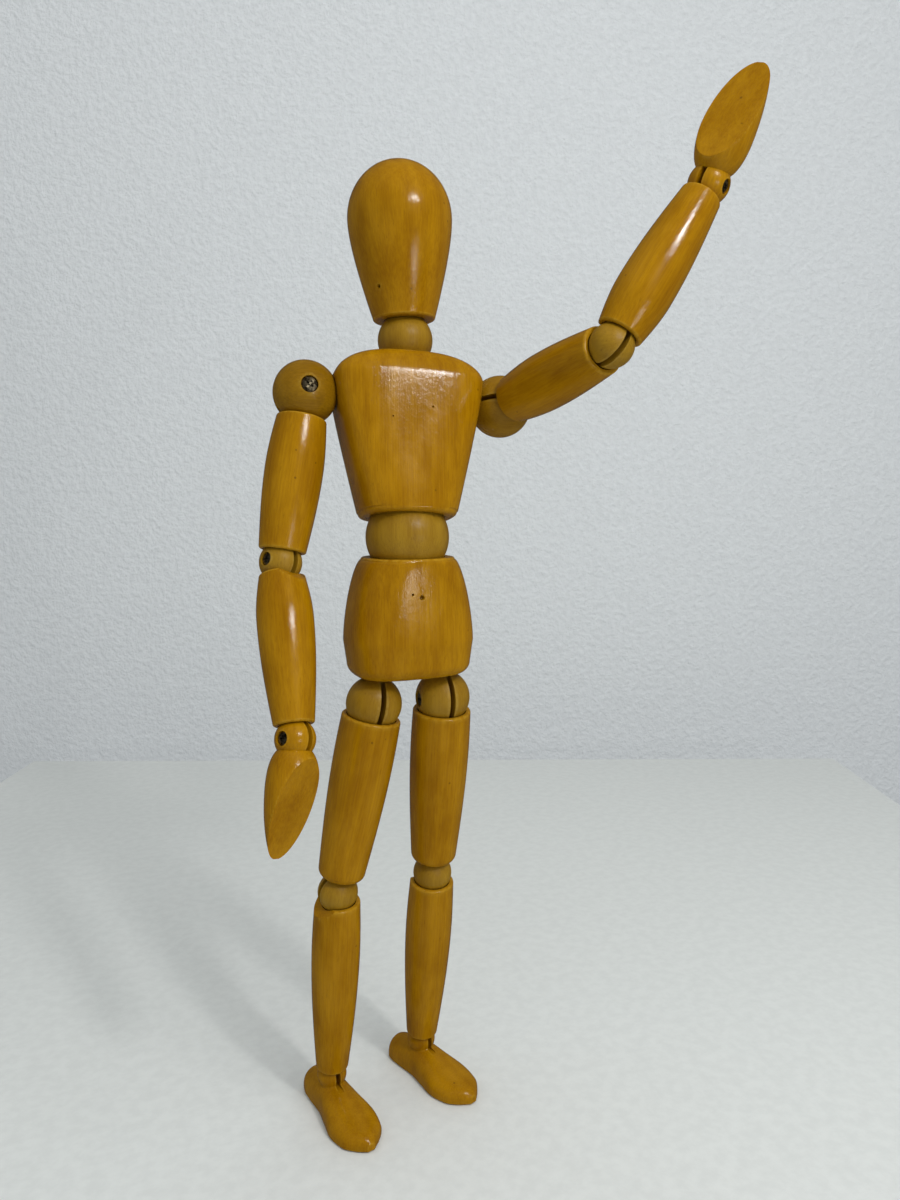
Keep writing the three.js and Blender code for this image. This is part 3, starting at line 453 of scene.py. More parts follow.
def sway_hole(x):
    """A hole that widens upwards to both sides, so that a hip pin can lean in it."""
    lean = PIN_REACH * math.tan(math.radians(PIN_LEAN))
    top = PIN_HOLE + lean
    tool = slab([(-PIN_HOLE, 0), (PIN_HOLE, 0), (top, PIN_REACH), (-top, PIN_REACH)], PIN_HOLE)
    tool.data.transform(Matrix.Translation((x, 0, 0)) @ Matrix.Rotation(math.radians(90), 4, "Z"))
    return tool


cut(
    pelvis,
    sway_hole(-hip_spread / 2),
    sway_hole(hip_spread / 2),
    dish(HIP_BALL_R, (-hip_spread / 2, 0, 0)),
    dish(HIP_BALL_R, (hip_spread / 2, 0, 0)),
    dish(WAIST_BALL_R, (0, 0, pelvis_top + WAIST_BAND)),
    nail_hole((-0.7, -13.7, 33.2), (0, 1, 0), 0.8),
    nail_hole((-3.5, -13.6, 34.2), (0, 1, 0), 0.4),
)
upright = Vector((0, 0, 1))
pelvis_bench = bench(hip_middle, upright, Vector((1, 0, 0)))
finish_piece(pelvis, pelvis_bench, varnished, "varnished_wood", "pelvis", "pelvis")

# The waist ball is turned from the same wood, sanded but hardly varnished, so that it grips. It
# turns on a hidden tongue in the pelvis, and the thorax turns on it.
sanded = wood(
    "sanded_wood",
    light=(0.4, 0.225, 0.012),
    dark=(0.25, 0.125, 0.005),
    rubbed=(0.44, 0.28, 0.05),
    pores=0.35,
    mirror=0.3,
    shine=(0.3, 0.42),
    peel=0.04,
    fibre=0.025,
)
nod_axis = Vector(joints["waist_nod"]["axis"])
waist_bench = bench(pivot("waist_nod"), axis_of("waist_turn", upright), nod_axis)
waist = ball("waist_sphere", WAIST_BALL_R, 96)
finish_piece(waist, waist_bench, sanded, "bare_wood", "waist_ball", "waist_ball", "waist_cross_pin")

# The thorax is a wedge-shaped block, flat in front and broad at the shoulders, with a crowned top.
# Its flanks are dished for the shoulder balls and its two ends for the neck and waist balls.
NECK_BALL_R = 8.4
SHOULDER_BALL_R = 9.6
NECK_BAND = 6.0
THORAX_HEIGHT = 48.7
THORAX_CROWN = 7.8
CROWN_SLOPE = 1.15
THORAX_EDGE = 1.4
SHOULDER_HEIGHT = 36.2
FLANK_TURN, FLANK_POWER, SQUARE_BY = 0.1, 6, 0.88
# Half width, half depth and squareness at the waist, at the shoulders and at the neck
THORAX_FOOT = (14.6, 13.4, 2.7)
THORAX_SHOULDERS = (22.8, 13.0, 4.6)
THORAX_TOP = (11.4, 9.0, 2.6)
chest = THORAX_HEIGHT - THORAX_CROWN
levels = []
for angle in np.radians(np.linspace(0, 90, 7)):
    wide, deep, square = THORAX_FOOT
    inset = THORAX_EDGE * (1 - math.sin(angle))
    levels.append((wide - inset, deep - inset, THORAX_EDGE * (1 - math.cos(angle)), square))
for share in np.linspace(0.04, 1, 30):
    # The flanks run nearly straight and turn upright just below the crown
    spread = (1 + FLANK_TURN) * share - FLANK_TURN * share**FLANK_POWER
    wide, deep, _ = between(THORAX_FOOT, THORAX_SHOULDERS, spread)
    *_, square = between(THORAX_FOOT, THORAX_SHOULDERS, min(1, share / SQUARE_BY))
    levels.append((wide, deep, max(share * chest, THORAX_EDGE), square))
for angle in np.radians(np.linspace(6, 90, 18)):
    wide, deep, square = between(THORAX_SHOULDERS, THORAX_TOP, 1 - math.cos(angle) ** CROWN_SLOPE)
    levels.append((wide, deep, chest + THORAX_CROWN * math.sin(angle) ** CROWN_SLOPE, square))
rings = [oblong(wide, deep, WAIST_BAND + z, square) for wide, deep, z, square in levels]
thorax_top = WAIST_BAND + THORAX_HEIGHT
thorax = skin("thorax_block", [[(0, 0, WAIST_BAND)]] + rings + [[(0, 0, thorax_top)]])
across = pivot("left_shoulder_bend") - pivot("right_shoulder_bend")
shoulder_x = across.length / MM / 2
cut(
    thorax,
    dish(WAIST_BALL_R),
    dish(NECK_BALL_R, (0, 0, thorax_top + NECK_BAND)),
    dish(SHOULDER_BALL_R, (-shoulder_x, 0, WAIST_BAND + SHOULDER_HEIGHT)),
    dish(SHOULDER_BALL_R, (shoulder_x, 0, WAIST_BAND + SHOULDER_HEIGHT)),
    nail_hole((-7.1, -13.1, 33.2), (0, 1, 0), 0.3, 0.5),
    nail_hole((4.9, -13.0, 36.7), (0, 1, 0), 0.35, 0.5),
)
thorax_bench = bench(pivot("waist_turn"), axis_of("waist_turn", upright), across)
finish_piece(thorax, thorax_bench, varnished, "varnished_wood", "thorax", "thorax")

# The neck ball joins thorax and head in the same way as the waist ball.
# It is a turned ball, sanded and left nearly bare, on a tongue in the thorax.
neck_bench = bench(pivot("neck_nod"), axis_of("neck_turn", upright), Vector((1, 0, 0)))
neck = ball("neck_sphere", NECK_BALL_R, 84)
finish_piece(neck, neck_bench, sanded, "bare_wood", "neck_ball", "neck_ball", "neck_cross_pin")

# The head is a plain egg turned on the lathe, with no face: narrow at the chin, flat below, and
# cupped over the neck ball. A nail hole is left low on its right side.
HEAD_HEIGHT = 47.2
HEAD_R = 15.9
HEAD_WIDEST = 30.0
CHIN_R = 9.6
CHIN_EDGE = 0.8
JAW_PULL = 22.0


def cup(ball_r, centre, mouth_r, upwards):
    """Profile of a ball's cup, from the axis to its mouth, opening upwards or downwards."""
    r = ball_r + GAP
    side = -1 if upwards else 1
    turns = np.linspace(0, math.asin(mouth_r / r), 14)
    return [(r * math.sin(a), centre + side * r * math.cos(a)) for a in turns]


def arc(centre_r, centre_z, radius, start, end, steps=8):
    turns = np.radians(np.linspace(start, end, steps))
    return [(centre_r + radius * math.cos(a), centre_z + radius * math.sin(a)) for a in turns]


def bent(points, steps):
    """A Bezier curve of (radius, height) points."""
    order = len(points) - 1
    line = []
    for t in np.linspace(0, 1, steps):
        shares = [math.comb(order, k) * t**k * (1 - t) ** (order - k) for k in range(order + 1)]
        line.append(tuple(sum(s * p[i] for s, p in zip(shares, points)) for i in (0, 1)))
    return line


profile = cup(NECK_BALL_R, 0, math.sqrt((NECK_BALL_R + GAP) ** 2 - NECK_BAND**2), False)
profile += arc(CHIN_R - CHIN_EDGE, NECK_BAND + CHIN_EDGE, CHIN_EDGE, -90, 0)
jaw = [(CHIN_R, CHIN_EDGE), (HEAD_R, JAW_PULL), (HEAD_R, HEAD_WIDEST)]
profile += [(r, NECK_BAND + z) for r, z in bent(jaw, 28)[1:]]
for turn in np.radians(np.linspace(4, 90, 24)):
    height = NECK_BAND + HEAD_WIDEST + (HEAD_HEIGHT - HEAD_WIDEST) * math.sin(turn)
    profile.append((HEAD_R * math.cos(turn), height))
profile[-1] = (0, NECK_BAND + HEAD_HEIGHT)
head = turned("head_egg", profile, 120)
cut(head, nail_hole((-9.85, -6.14, 14.2), (0.85, 0.53, 0), 0.6))
finish_piece(head, neck_bench, varnished, "varnished_wood", "head", "head")

# Each shoulder, elbow, hip and knee is a bare ball with a saw cut across it, which turns on a pin
# or an axle in the piece above. A flat steel tongue from the limb below sits in the cut, on a
# cross screw with its head in a counterbored hole. A knee's cut is closed in front.
SLOT_WIDTH = 1.6
SLOT_PAST_SCREW = 3.0
SLOT_RISE = 0.86
PIN_CORE = 2.6
HEAD_SUNK = 0.5
HEAD_THICK = 1.3
LARGE_HEAD_R = 2.2
SMALL_HEAD_R = 1.7
KNEE_PAST_STRAIGHT = 20


def saw_cut(ball_r, closed_in_front):
    """A cut past the screw, which runs on up to both sides of the wood that holds the pin."""
    far, rise = 2 * ball_r, SLOT_RISE * ball_r
    back = [(far, -far), (far, rise), (PIN_CORE, rise)]
    back += [(PIN_CORE, SLOT_PAST_SCREW), (-PIN_CORE, SLOT_PAST_SCREW)]
    front = [(-PIN_CORE, rise), (-far, rise), (-far, -far)]
    if closed_in_front:
        slant = far * math.tan(math.radians(KNEE_PAST_STRAIGHT))
        front = [(-PIN_CORE, 0), (-PIN_CORE - slant, -far)]
    return slab(back + front, SLOT_WIDTH / 2)


def counterbore(ball_r, head_r):
    """The round hole along +X that a screw's head sinks into."""
    start, end = ball_r - HEAD_SUNK - HEAD_THICK - GAP, 2 * ball_r
    r = head_r + GAP
    tool = turned("drill", [(0, start), (r, start), (r, end), (0, end)], 40)
    tool.data.transform(Matrix.Rotation(math.radians(90), 4, "Y"))
    return tool


def screw_side(joint_name):
    """The way a joint's screw head faces, along its bending axis."""
    low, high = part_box(joint_name + "_screw")
    middle = (Vector(low) + Vector(high)) / 2
    return axis_of(joint_name + "_bend", middle - pivot(joint_name + "_bend"))


def joint_ball(joint_name, ball_r, head_r, up, finish=sanded, closed_in_front=False):
    piece = ball(joint_name + "_sphere", ball_r, 80)
    cut(piece, saw_cut(ball_r, closed_in_front), counterbore(ball_r, head_r))
    at = bench(pivot(joint_name + "_bend"), up, screw_side(joint_name))
    finish_piece(piece, at, finish, "bare_wood", joint_name + "_ball", joint_name + "_ball")


# The shoulder balls are browner and shinier than the rest, from being held
handled = wood(
    "handled_wood",
    light=(0.36, 0.185, 0.006),
    dark=(0.2, 0.092, 0.002),
    rubbed=(0.4, 0.24, 0.03),
    pores=0.4,
    mirror=0.4,
    shine=(0.16, 0.28),
    peel=0.05,
    fibre=0.02,
)
chest_middle = (pivot("left_shoulder_bend") + pivot("right_shoulder_bend")) / 2
for side in ("right", "left"):
    inward = chest_middle - pivot(side + "_shoulder_bend")
    joint_ball(side + "_shoulder", SHOULDER_BALL_R, LARGE_HEAD_R, inward, handled)

# Upper arms and forearms are spindles turned between two cups, fullest above the middle, varnished
# like the body. A forearm is sawn off at a slant on the side that it bends to.
SOCKET_WALL = 1.3
CRISP = 0.7
ELBOW_BALL_R = 6.2
WRIST_BALL_R = 5.7
ELBOW_BEVEL = 45


def limb(name, length, upper, lower, swell):
    """upper and lower are (ball radius, end radius, rounding); swell is (largest radius, place)."""
    (ball_a, r1, soft1), (ball_b, r2, soft2), (widest, place) = upper, lower, swell
    mouth1 = r1 - SOCKET_WALL
    mouth2 = r2 - SOCKET_WALL - soft2 + CRISP
    top = -math.sqrt((ball_a + GAP) ** 2 - mouth1**2)
    bottom = -length + math.sqrt((ball_b + GAP) ** 2 - mouth2**2)
    profile = cup(ball_b, -length, mouth2, False)
    profile += arc(r2 - soft2, bottom + soft2, soft2, -90, 0)
    low, high = bottom + soft2, top - soft1
    for t in np.linspace(0.02, 0.98, 40):
        down = 1 - t
        if down < place:
            radius = r1 + (widest - r1) * math.sin(down / place * math.pi / 2)
        else:
            radius = r2 + (widest - r2) * math.cos((down - place) / (1 - place) * math.pi / 2)
        profile.append((radius, low + (high - low) * t))
    profile += arc(r1 - soft1, high, soft1, 0, 90)
    profile += cup(ball_a, 0, mouth1, True)[::-1]
    return turned(name, profile)


def bevelled(piece, angle, reach=40):
    """Saws off a limb's upper end at a slant, on its +Y side."""
    fall = reach * math.tan(math.radians(angle))
    cut(piece, slab([(0, reach), (0, 0), (reach, -fall), (reach, reach)], reach))


def length_between(first, second):
    return (pivot(first) - pivot(second)).length / MM


for side in ("right", "left"):
    shoulder, elbow, wrist = (side + "_" + part for part in ("shoulder", "elbow", "wrist"))
    up = pivot(shoulder + "_bend") - pivot(elbow + "_bend")
    upper_arm = limb(
        side + "_upper_arm_spindle",
        length_between(shoulder + "_bend", elbow + "_bend"),
        upper=(SHOULDER_BALL_R, 7.4, CRISP),
        lower=(ELBOW_BALL_R, 6.9, CRISP),
        swell=(8.5, 0.38),
    )
    at = bench(pivot(shoulder + "_bend"), up, screw_side(shoulder))
    finish_piece(
        upper_arm, at, varnished, "varnished_wood", side + "_upper_arm", side + "_upper_arm"
    )
    joint_ball(elbow, ELBOW_BALL_R, SMALL_HEAD_R, up)
    up = pivot(elbow + "_bend") - pivot(wrist + "_bend")
    forearm = limb(
        side + "_forearm_spindle",
        length_between(elbow + "_bend", wrist + "_bend"),
        upper=(ELBOW_BALL_R, 6.6, CRISP),
        lower=(WRIST_BALL_R, 5.8, CRISP),
        swell=(8.1, 0.3),
    )
    # An elbow closes as its joint turns backwards, which puts the slant on the inside of the bend
    at = bench(pivot(elbow + "_bend"), up, -Vector(joints[elbow + "_bend"]["axis"]))
    bevelled(forearm, ELBOW_BEVEL)
    finish_piece(forearm, at, varnished, "varnished_wood", side + "_forearm", side + "_forearm")

# Each hand is a mitten: a turned spindle planed off at a slant, which leaves a flat oval palm and
# thin finger tips. It is one piece with its wrist ball, which is slotted and screwed on a tongue
# from the forearm.
HAND_BEND = {"right": -11, "left": 23}
HAND_LENGTH = 32.0
HAND_R = 7.4
HAND_WIDEST = 14.0
HAND_NECK = (4.3, -2.62)
FINGER_PULL = 25.0
FINGER_BACK = 4.5
FINGER_THICK = 0.1
PALM_START = 6.5
PALM_START_DEPTH = 5.6
PLANE_SIZE = (20, 60)


def end_slot(ball_r):
    """The saw cut of a wrist or an ankle, from past the screw out through the end of the ball."""
    far, low = 2 * ball_r, -SLOT_PAST_SCREW
    return slab([(-far, low), (far, low), (far, far), (-far, far)], SLOT_WIDTH / 2)


for side in ("right", "left"):
    wrist, elbow = side + "_wrist", side + "_elbow"
    tip, widest = (FINGER_BACK, -HAND_LENGTH), (HAND_R, -HAND_WIDEST)
    fingers = bent([tip, (HAND_R, -FINGER_PULL), widest], 36)
    heel = bent([widest, (HAND_R, 2 * HAND_NECK[1]), HAND_NECK], 16)
    profile = [(0, -HAND_LENGTH)] + fingers + heel[1:] + [(0, HAND_NECK[1])]
    hand = turned(side + "_hand_mitten", profile)
    fall = PALM_START_DEPTH + FINGER_BACK - FINGER_THICK
    slope = math.atan2(fall, HAND_LENGTH - PALM_START)
    deep, long = PLANE_SIZE
    plane = slab([(0, -long), (deep, -long), (deep, long), (0, long)], deep)
    plane.data.transform(Matrix.Rotation(-slope, 4, "X"))
    plane.data.transform(Matrix.Translation((0, PALM_START_DEPTH, -PALM_START)))
    cut(hand, plane)
    worked(hand, "UNION", [ball("wrist", WRIST_BALL_R)])
    cut(hand, end_slot(WRIST_BALL_R), counterbore(WRIST_BALL_R, SMALL_HEAD_R))
    up = pivot(elbow + "_bend") - pivot(wrist + "_bend")
    at = bench(pivot(wrist + "_bend"), up, screw_side(wrist))
    at = at @ Matrix.Rotation(math.radians(HAND_BEND[side]), 4, "X")
    finish_piece(hand, at, varnished, "varnished_wood", side + "_hand", side + "_hand")

# Hips and legs: the hip balls hang on pins that lean in the pelvis, then thigh, knee ball and shin
# follow like an arm, with the thigh's lower end rounded over the knee.
KNEE_BALL_R = 6.3
ANKLE_BALL_R = 4.8
KNEE_ROUND = 2.6
KNEE_BEVEL = 42
for side in ("right", "left"):
    hip, knee, ankle = (side + "_" + part for part in ("hip", "knee", "ankle"))
    joint_ball(hip, HIP_BALL_R, LARGE_HEAD_R, axis_of(hip + "_swivel", upright))
    up = pivot(hip + "_bend") - pivot(knee + "_bend")
    thigh = limb(
        side + "_thigh_spindle",
        length_between(hip + "_bend", knee + "_bend"),
        upper=(HIP_BALL_R, 9.1, CRISP),
        lower=(KNEE_BALL_R, 7.4, KNEE_ROUND),
        swell=(9.3, 0.22),
    )
    if side == "left":
        cut(thigh, nail_hole((7.6, -2.6, -44.9), (-0.95, 0.32, 0), 0.6))
    at = bench(pivot(hip + "_bend"), up, screw_side(hip))
    finish_piece(thigh, at, varnished, "varnished_wood", side + "_thigh", side + "_thigh")
    joint_ball(knee, KNEE_BALL_R, SMALL_HEAD_R, up, closed_in_front=True)
    up = pivot(knee + "_bend") - pivot(ankle + "_bend")
    shin = limb(
        side + "_shin_spindle",
        length_between(knee + "_bend", ankle + "_bend"),
        upper=(KNEE_BALL_R, 7.2, CRISP),
        lower=(ANKLE_BALL_R, 5.3, CRISP),
        swell=(7.7, 0.28),
    )
    bevelled(shin, KNEE_BEVEL)
    at = bench(pivot(knee + "_bend"), up, screw_side(knee))
    finish_piece(shin, at, varnished, "varnished_wood", side + "_shin", side + "_shin")

# Each foot is a shoe last with a flat sole, rasped to shape in one piece with its ankle ball, which
# is slotted and screwed on a tongue from the shin.
ANKLE_HEIGHT = 11.4
FOOT_HEADING = {"right": 11, "left": 20}
# Lengths behind the ankle, half widths and heights along the last, from toe to heel
LAST_AT = [-26.2, -23.8, -20.1, -14.0, -7.0, 0.0, 8.4, 12.6, 14.0]
LAST_HALF_WIDTH = [1.3, 4.5, 7.6, 8.7, 7.35, 6.0, 5.8, 4.9, 2.3]
LAST_HEIGHT = [2.6, 4.4, 5.2, 6.5, 8.5, 10.0, 8.4, 7.1, 5.0]
SOLE_EDGE = 0.08
SIDE_FULLNESS = 0.7


def soft_curve(keys, values, at):
    """A smooth curve through a few measured values that never swings past them."""
    keys, values = np.asarray(keys, float), np.asarray(values, float)
    slope = np.diff(values) / np.diff(keys)
    lean = np.zeros(len(keys))
    same = slope[:-1] * slope[1:] > 0
    lean[1:-1][same] = 2 * slope[:-1][same] * slope[1:][same] / (slope[:-1] + slope[1:])[same]
    lean[0], lean[-1] = slope[0], slope[-1]
    i = np.clip(np.searchsorted(keys, at) - 1, 0, len(keys) - 2)
    h = keys[i + 1] - keys[i]
    t = (at - keys[i]) / h
    return (
        (2 * t**3 - 3 * t**2 + 1) * values[i]
        + (t**3 - 2 * t**2 + t) * h * lean[i]
        + (3 * t**2 - 2 * t**3) * values[i + 1]
        + (t**3 - t**2) * h * lean[i + 1]
    )


def rasped(piece, voxel, passes):
    """Blends joined forms into one skin, as a rasp and sandpaper do."""
    remesh = piece.modifiers.new("one_skin", "REMESH")
    remesh.mode = "VOXEL"
    remesh.voxel_size = voxel
    smooth = piece.modifiers.new("sandpaper", "SMOOTH")
    smooth.factor = 0.5
    smooth.iterations = passes
    settled(piece)


for side in ("right", "left"):
    ankle = side + "_ankle"
    rings = []
    t = np.linspace(0, math.pi, 40)
    rise = np.sin(t) ** SIDE_FULLNESS
    for y in np.linspace(LAST_AT[-1], LAST_AT[0], 60):
        half = soft_curve(LAST_AT, LAST_HALF_WIDTH, y)
        tall = soft_curve(LAST_AT, LAST_HEIGHT, y)
        x = half * np.cos(t) * (1 - SOLE_EDGE * (1 - rise))
        rings.append(np.stack([x, np.full(40, y), tall * rise - ANKLE_HEIGHT], 1))
    foot = skin(side + "_foot_last", [[rings[0].mean(0)]] + rings + [[rings[-1].mean(0)]])
    worked(foot, "UNION", [ball("ankle", ANKLE_BALL_R)])
    rasped(foot, voxel=0.3, passes=5)
    ahead = math.radians(FOOT_HEADING[side])
    sideways = Vector((math.cos(ahead), math.sin(ahead), 0))
    level = bench(pivot(ankle + "_bend"), upright, sideways)
    at_screw = bench(pivot(ankle + "_bend"), upright, screw_side(ankle))
    slot = end_slot(ANKLE_BALL_R)
    hole = counterbore(ANKLE_BALL_R, SMALL_HEAD_R)
    for tool in (slot, hole):
        tool.data.transform((level.inverted() @ at_screw).to_3x3().to_4x4())
    cut(foot, slot, hole)
    finish_piece(foot, level, varnished, "varnished_wood", side + "_foot", side + "_foot")

# The clamp screws are small cross-head machine screws, gone dull and brownish with age, sunk below
# the balls' surface.
STAIN_TONE = (0.05, 0.037, 0.02, 1)
STEEL_TONE = (0.4, 0.33, 0.2, 1)
STAIN_EDGE = (0.35, 0.65)


def dull_steel():
    finish, tree, shader = blank_finish("dull_steel")
    shader.inputs["Metallic"].default_value = 1.0
    place = node(tree, "ShaderNodeTexCoord").outputs["Object"]
    stain = noise(tree, place, size=900.0, detail=4.0)
    metal = tint(tree, ramp(tree, stain, *STAIN_EDGE), STAIN_TONE, STEEL_TONE)
    tree.links.new(metal, shader.inputs["Base Color"])
    tree.links.new(ramp(tree, stain, *STAIN_EDGE, 0.55, 0.35), shader.inputs["Roughness"])
    roughen(tree, shader, stain, strength=0.4, distance=0.05 * MM)
    return finish


steel = dull_steel()
SCREW_END_COVER = 2.2
SHANK_R = 0.95
DOME = 2.6
CROSS_LENGTH = 1.15
CROSS_WIDTH = 0.26
CROSS_TURN = 0.5
CROSS_LEAN = 0.3


def screw_tree():
    """A cross-head screw along +Z: a domed head with a cross recess on a plain shank."""
    tree = bpy.data.node_groups.new("clamp_screw", "GeometryNodeTree")
    face = tree.interface
    face.new_socket("Geometry", in_out="INPUT", socket_type="NodeSocketGeometry")
    for label in ("Head Radius", "Head Thickness", "Head Top", "Shank Radius", "Shank End"):
        face.new_socket(label, in_out="INPUT", socket_type="NodeSocketFloat")
    face.new_socket("Finish", in_out="INPUT", socket_type="NodeSocketMaterial")
    face.new_socket("Geometry", in_out="OUTPUT", socket_type="NodeSocketGeometry")
    into, out = tree.nodes.new("NodeGroupInput"), tree.nodes.new("NodeGroupOutput")

    def add(kind, **values):
        made = tree.nodes.new(kind)
        for key, value in values.items():
            feed(tree, made.inputs[key.replace("_", " ")], value)
        return made

    def lifted(mesh, height, turn=0.0):
        shift = add("ShaderNodeCombineXYZ", Z=height).outputs[0]
        spin = (0, 0, turn)
        moved = add("GeometryNodeTransform", Geometry=mesh, Translation=shift, Rotation=spin)
        return moved.outputs["Geometry"]

    radius, thick, top = (into.outputs[k] for k in ("Head Radius", "Head Thickness", "Head Top"))
    shank, end = into.outputs["Shank Radius"], into.outputs["Shank End"]
    disc = add("GeometryNodeMeshCylinder", Vertices=40, Radius=radius, Depth=thick)
    half_thick = maths(tree, "MULTIPLY", thick, 0.5)
    disc = lifted(disc.outputs["Mesh"], maths(tree, "SUBTRACT", top, half_thick))
    dome_r = maths(tree, "MULTIPLY", radius, DOME)
    dome = add("GeometryNodeMeshUVSphere", Segments=64, Rings=64, Radius=dome_r)
    dome = lifted(dome.outputs["Mesh"], maths(tree, "SUBTRACT", top, dome_r))
    crowned = tree.nodes.new("GeometryNodeMeshBoolean")
    crowned.operation = "INTERSECT"
    tree.links.new(disc, crowned.inputs["Mesh 2"])
    tree.links.new(dome, crowned.inputs["Mesh 2"])
    long = maths(tree, "MULTIPLY", radius, CROSS_LENGTH)
    wide = maths(tree, "MULTIPLY", radius, CROSS_WIDTH)
    bar = add("ShaderNodeCombineXYZ", X=long, Y=wide, Z=thick).outputs[0]
    blade = add("GeometryNodeMeshCube", Size=bar).outputs["Mesh"]
    recess = tree.nodes.new("GeometryNodeMeshBoolean")
    recess.operation = "DIFFERENCE"
    tree.links.new(crowned.outputs["Mesh"], recess.inputs["Mesh 1"])
    for turn in (CROSS_TURN, CROSS_TURN + math.pi / 2):
        tree.links.new(lifted(blade, top, turn), recess.inputs["Mesh 2"])
    length = maths(tree, "SUBTRACT", maths(tree, "SUBTRACT", top, thick), end)
    stem = add("GeometryNodeMeshCylinder", Vertices=24, Radius=shank, Depth=length)
    half_length = maths(tree, "MULTIPLY", length, 0.5)
    stem = lifted(stem.outputs["Mesh"], maths(tree, "ADD", end, half_length))
    both = tree.nodes.new("GeometryNodeJoinGeometry")
    tree.links.new(recess.outputs["Mesh"], both.inputs[0])
    tree.links.new(stem, both.inputs[0])
    real = add("GeometryNodeRealizeInstances", Geometry=both.outputs[0])
    done = add("GeometryNodeSetMaterial", Geometry=real.outputs[0], Material=into.outputs["Finish"])
    tree.links.new(done.outputs[0], out.inputs["Geometry"])
    return tree


screw_pattern = screw_tree()
clamps = (
    ("shoulder", SHOULDER_BALL_R, LARGE_HEAD_R, "shoulder_ball"),
    ("elbow", ELBOW_BALL_R, SMALL_HEAD_R, "elbow_ball"),
    ("wrist", WRIST_BALL_R, SMALL_HEAD_R, "hand"),
    ("hip", HIP_BALL_R, LARGE_HEAD_R, "hip_ball"),
    ("knee", KNEE_BALL_R, SMALL_HEAD_R, "knee_ball"),
    ("ankle", ANKLE_BALL_R, SMALL_HEAD_R, "foot"),
)
for side in ("right", "left"):
    for part, ball_r, head_r, body in clamps:
        joint_name = side + "_" + part
        screw = bare(joint_name + "_cross_screw", bpy.data.meshes.new("screw"))
        pattern = screw.modifiers.new("pattern", "NODES")
        pattern.node_group = screw_pattern
        sizes = {
            "Head Radius": head_r,
            "Head Thickness": HEAD_THICK,
            "Head Top": ball_r - HEAD_SUNK,
            "Shank Radius": SHANK_R,
            "Shank End": -(ball_r - SCREW_END_COVER),
            "Finish": steel,
        }
        for socket in screw_pattern.interface.items_tree:
            if socket.in_out == "INPUT" and socket.name in sizes:
                pattern[socket.identifier] = sizes[socket.name]
        settled(screw)
        outward = screw_side(joint_name)
        leaning = upright + CROSS_LEAN * outward.orthogonal()
        at = bench(pivot(joint_name + "_bend"), outward, leaning)
        finish_piece(screw, at, steel, "steel", side + "_" + body, joint_name + "_screw")

# The steel inside the joints hardly shows: flat tongues in the saw cuts, and pins and an axle that
# lie inside the limbs and the thorax.
for name, inner in frame["nodes"].items():
    if any(word in name for word in ("tongue", "_pin", "axle")):
        inner.data.materials.clear()
        inner.data.materials.append(steel)

# The stage: a pale board, with its far corners just inside the view, before a rough white wall.
# The camera stands where the photograph was taken, and soft daylight comes from its right.
CAMERA_PLACE = Vector((-0.0960, -0.2552, 0.2020)) + Vector((hip_middle.x, hip_middle.y, 0))
HEADING, PITCH, ROLL = 23.31, 6.88, -0.19
FOCUS_PX, LONG_SIDE_PX, SENSOR_MM = 901, 1200, 36
BOARD_LEFT, BOARD_RIGHT, BOARD_NEAR, BOARD_FAR = -0.316, 0.29, -0.5, 0.664
BOARD_TOP, BOARD_UNDERSIDE = -0.0002, -0.03
WALL_AWAY, WALL_SIDE, WALL_LOW, WALL_HIGH = 0.78, 3, -1, 3
BOARD_COLOUR = (0.8, 0.82, 0.79)
WALL_COLOUR = (0.92, 0.945, 0.95)
PALE_MIRROR = 0.2
PALE_SHADE = 0.94


def pale(name, colour, rough, grain_size, depth):
    finish, tree, shader = blank_finish(name)
    shader.inputs["Roughness"].default_value = rough
    shader.inputs["Specular IOR Level"].default_value = PALE_MIRROR
    place = node(tree, "ShaderNodeTexCoord").outputs["Object"]
    rub = noise(tree, place, grain_size, detail=4.0)
    darker = tuple(PALE_SHADE * c for c in colour)
    mottled = tint(tree, ramp(tree, rub, 0.3, 0.7), (*darker, 1), (*colour, 1))
    tree.links.new(mottled, shader.inputs["Base Color"])
    roughen(tree, shader, rub, strength=0.6, distance=depth)
    return finish


def staged(stage_piece, at, finish):
    stage_piece.data.transform(at)
    stage_piece.data.materials.append(finish)
    stage_piece.visible_glossy = False
    stage_piece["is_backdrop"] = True


heading = Matrix.Rotation(-math.radians(HEADING), 4, "Z")
view_bench = Matrix.Translation((CAMERA_PLACE.x, CAMERA_PLACE.y, 0)) @ heading
outline = [(BOARD_NEAR, BOARD_UNDERSIDE), (BOARD_FAR, BOARD_UNDERSIDE)]
outline += [(BOARD_FAR, BOARD_TOP), (BOARD_NEAR, BOARD_TOP)]
board = slab(outline, (BOARD_RIGHT - BOARD_LEFT) / 2)
board.name = "table_board"
middle = Matrix.Translation(((BOARD_LEFT + BOARD_RIGHT) / 2, 0, 0))
board_white = pale("board_white", BOARD_COLOUR, rough=0.45, grain_size=220, depth=0.00006)
staged(board, view_bench @ middle, board_white)
corners = [(-WALL_SIDE, WALL_LOW), (WALL_SIDE, WALL_LOW)]
corners += [(WALL_SIDE, WALL_HIGH), (-WALL_SIDE, WALL_HIGH)]
wall = closed("back_wall", [(x, WALL_AWAY, z) for x, z in corners], [(0, 1, 2, 3)])
wall_white = pale("wall_white", WALL_COLOUR, rough=0.8, grain_size=230, depth=0.004)
staged(wall, view_bench, wall_white)

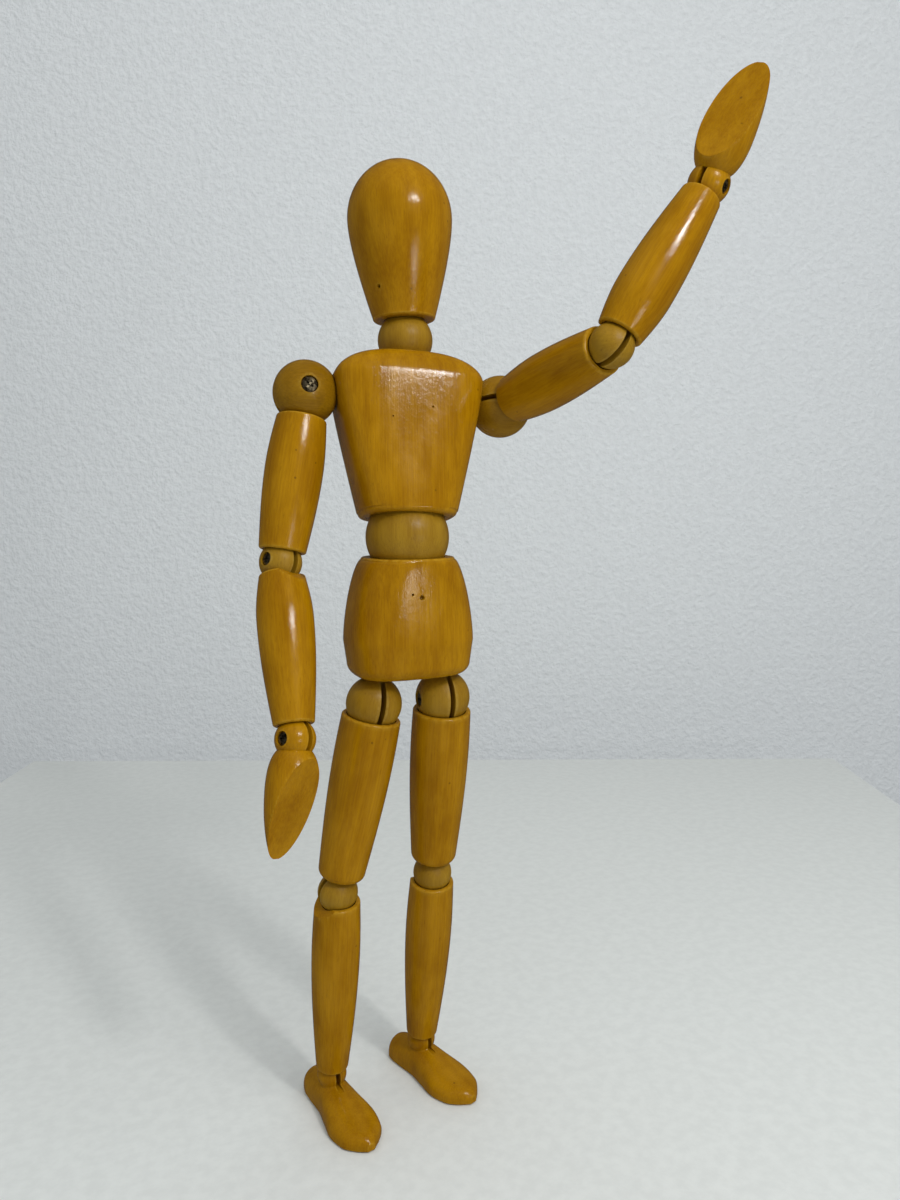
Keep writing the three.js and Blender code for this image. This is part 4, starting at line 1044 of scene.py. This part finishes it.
camera = bpy.data.objects.new("photo_view", bpy.data.cameras.new("photo_view"))
bpy.context.scene.collection.objects.link(camera)
camera.data.sensor_width = SENSOR_MM
camera.data.lens = FOCUS_PX / LONG_SIDE_PX * SENSOR_MM
camera.data.clip_start = 0.01
camera.location = CAMERA_PLACE
turn = heading @ Matrix.Rotation(math.radians(90 - PITCH), 4, "X")
camera.rotation_euler = (turn @ Matrix.Rotation(math.radians(ROLL), 4, "Z")).to_euler()
bpy.context.scene.camera = camera
FIGURE_MIDDLE = 0.17


def soft_light(name, right, rise, away, size, watts, in_varnish):
    """A soft panel that faces the figure, right of the camera and up by two angles."""
    bearing, lift = math.radians(HEADING - right), math.radians(rise)
    middle = Vector((hip_middle.x, hip_middle.y, FIGURE_MIDDLE))
    flat = math.cos(lift)
    out = Vector((-math.sin(bearing) * flat, -math.cos(bearing) * flat, math.sin(lift)))
    lamp = bpy.data.lights.new(name, "AREA")
    lamp.shape = "RECTANGLE"
    lamp.size, lamp.size_y = size
    lamp.energy = watts
    light = bpy.data.objects.new(name, lamp)
    bpy.context.scene.collection.objects.link(light)
    light.location = middle + out * away
    light.rotation_euler = out.to_track_quat("Z", "Y").to_euler()
    light.visible_glossy = in_varnish


# Two broad lights give the daylight; two small lamps give the spots that the varnish mirrors
soft_light("window", right=38, rise=44, away=0.64, size=(0.36, 0.46), watts=1.25, in_varnish=False)
soft_light("lamp", right=38, rise=38, away=0.7, size=(0.05, 0.1), watts=1.1, in_varnish=True)
soft_light("low_lamp", right=36, rise=1, away=0.75, size=(0.04, 0.1), watts=0.28, in_varnish=True)
soft_light("ceiling", right=0, rise=86, away=0.95, size=(1.3, 1.3), watts=3.2, in_varnish=False)
# The room is lit, but looks dark in the varnish, as the board and the wall do
ROOM_LIGHT, ROOM_IN_VARNISH = 0.4, 0.06
ROOM_COLOUR = (0.93, 0.97, 1.0, 1)
world = bpy.data.worlds.new("daylight")
world.use_nodes = True
room = world.node_tree
room.nodes["Background"].inputs["Color"].default_value = ROOM_COLOUR
mirrored = room.nodes.new("ShaderNodeLightPath").outputs["Is Glossy Ray"]
glow = ramp(room, mirrored, 0.0, 1.0, ROOM_LIGHT, ROOM_IN_VARNISH)
room.links.new(glow, room.nodes["Background"].inputs["Strength"])
bpy.context.scene.world = world
bpy.context.scene.view_settings.view_transform = "Standard"

dressed_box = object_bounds()
sizes = {
    "solids": [list(map(float, corner)) for corner in solid_box],
    "dressed": [list(map(float, corner)) for corner in dressed_box],
}
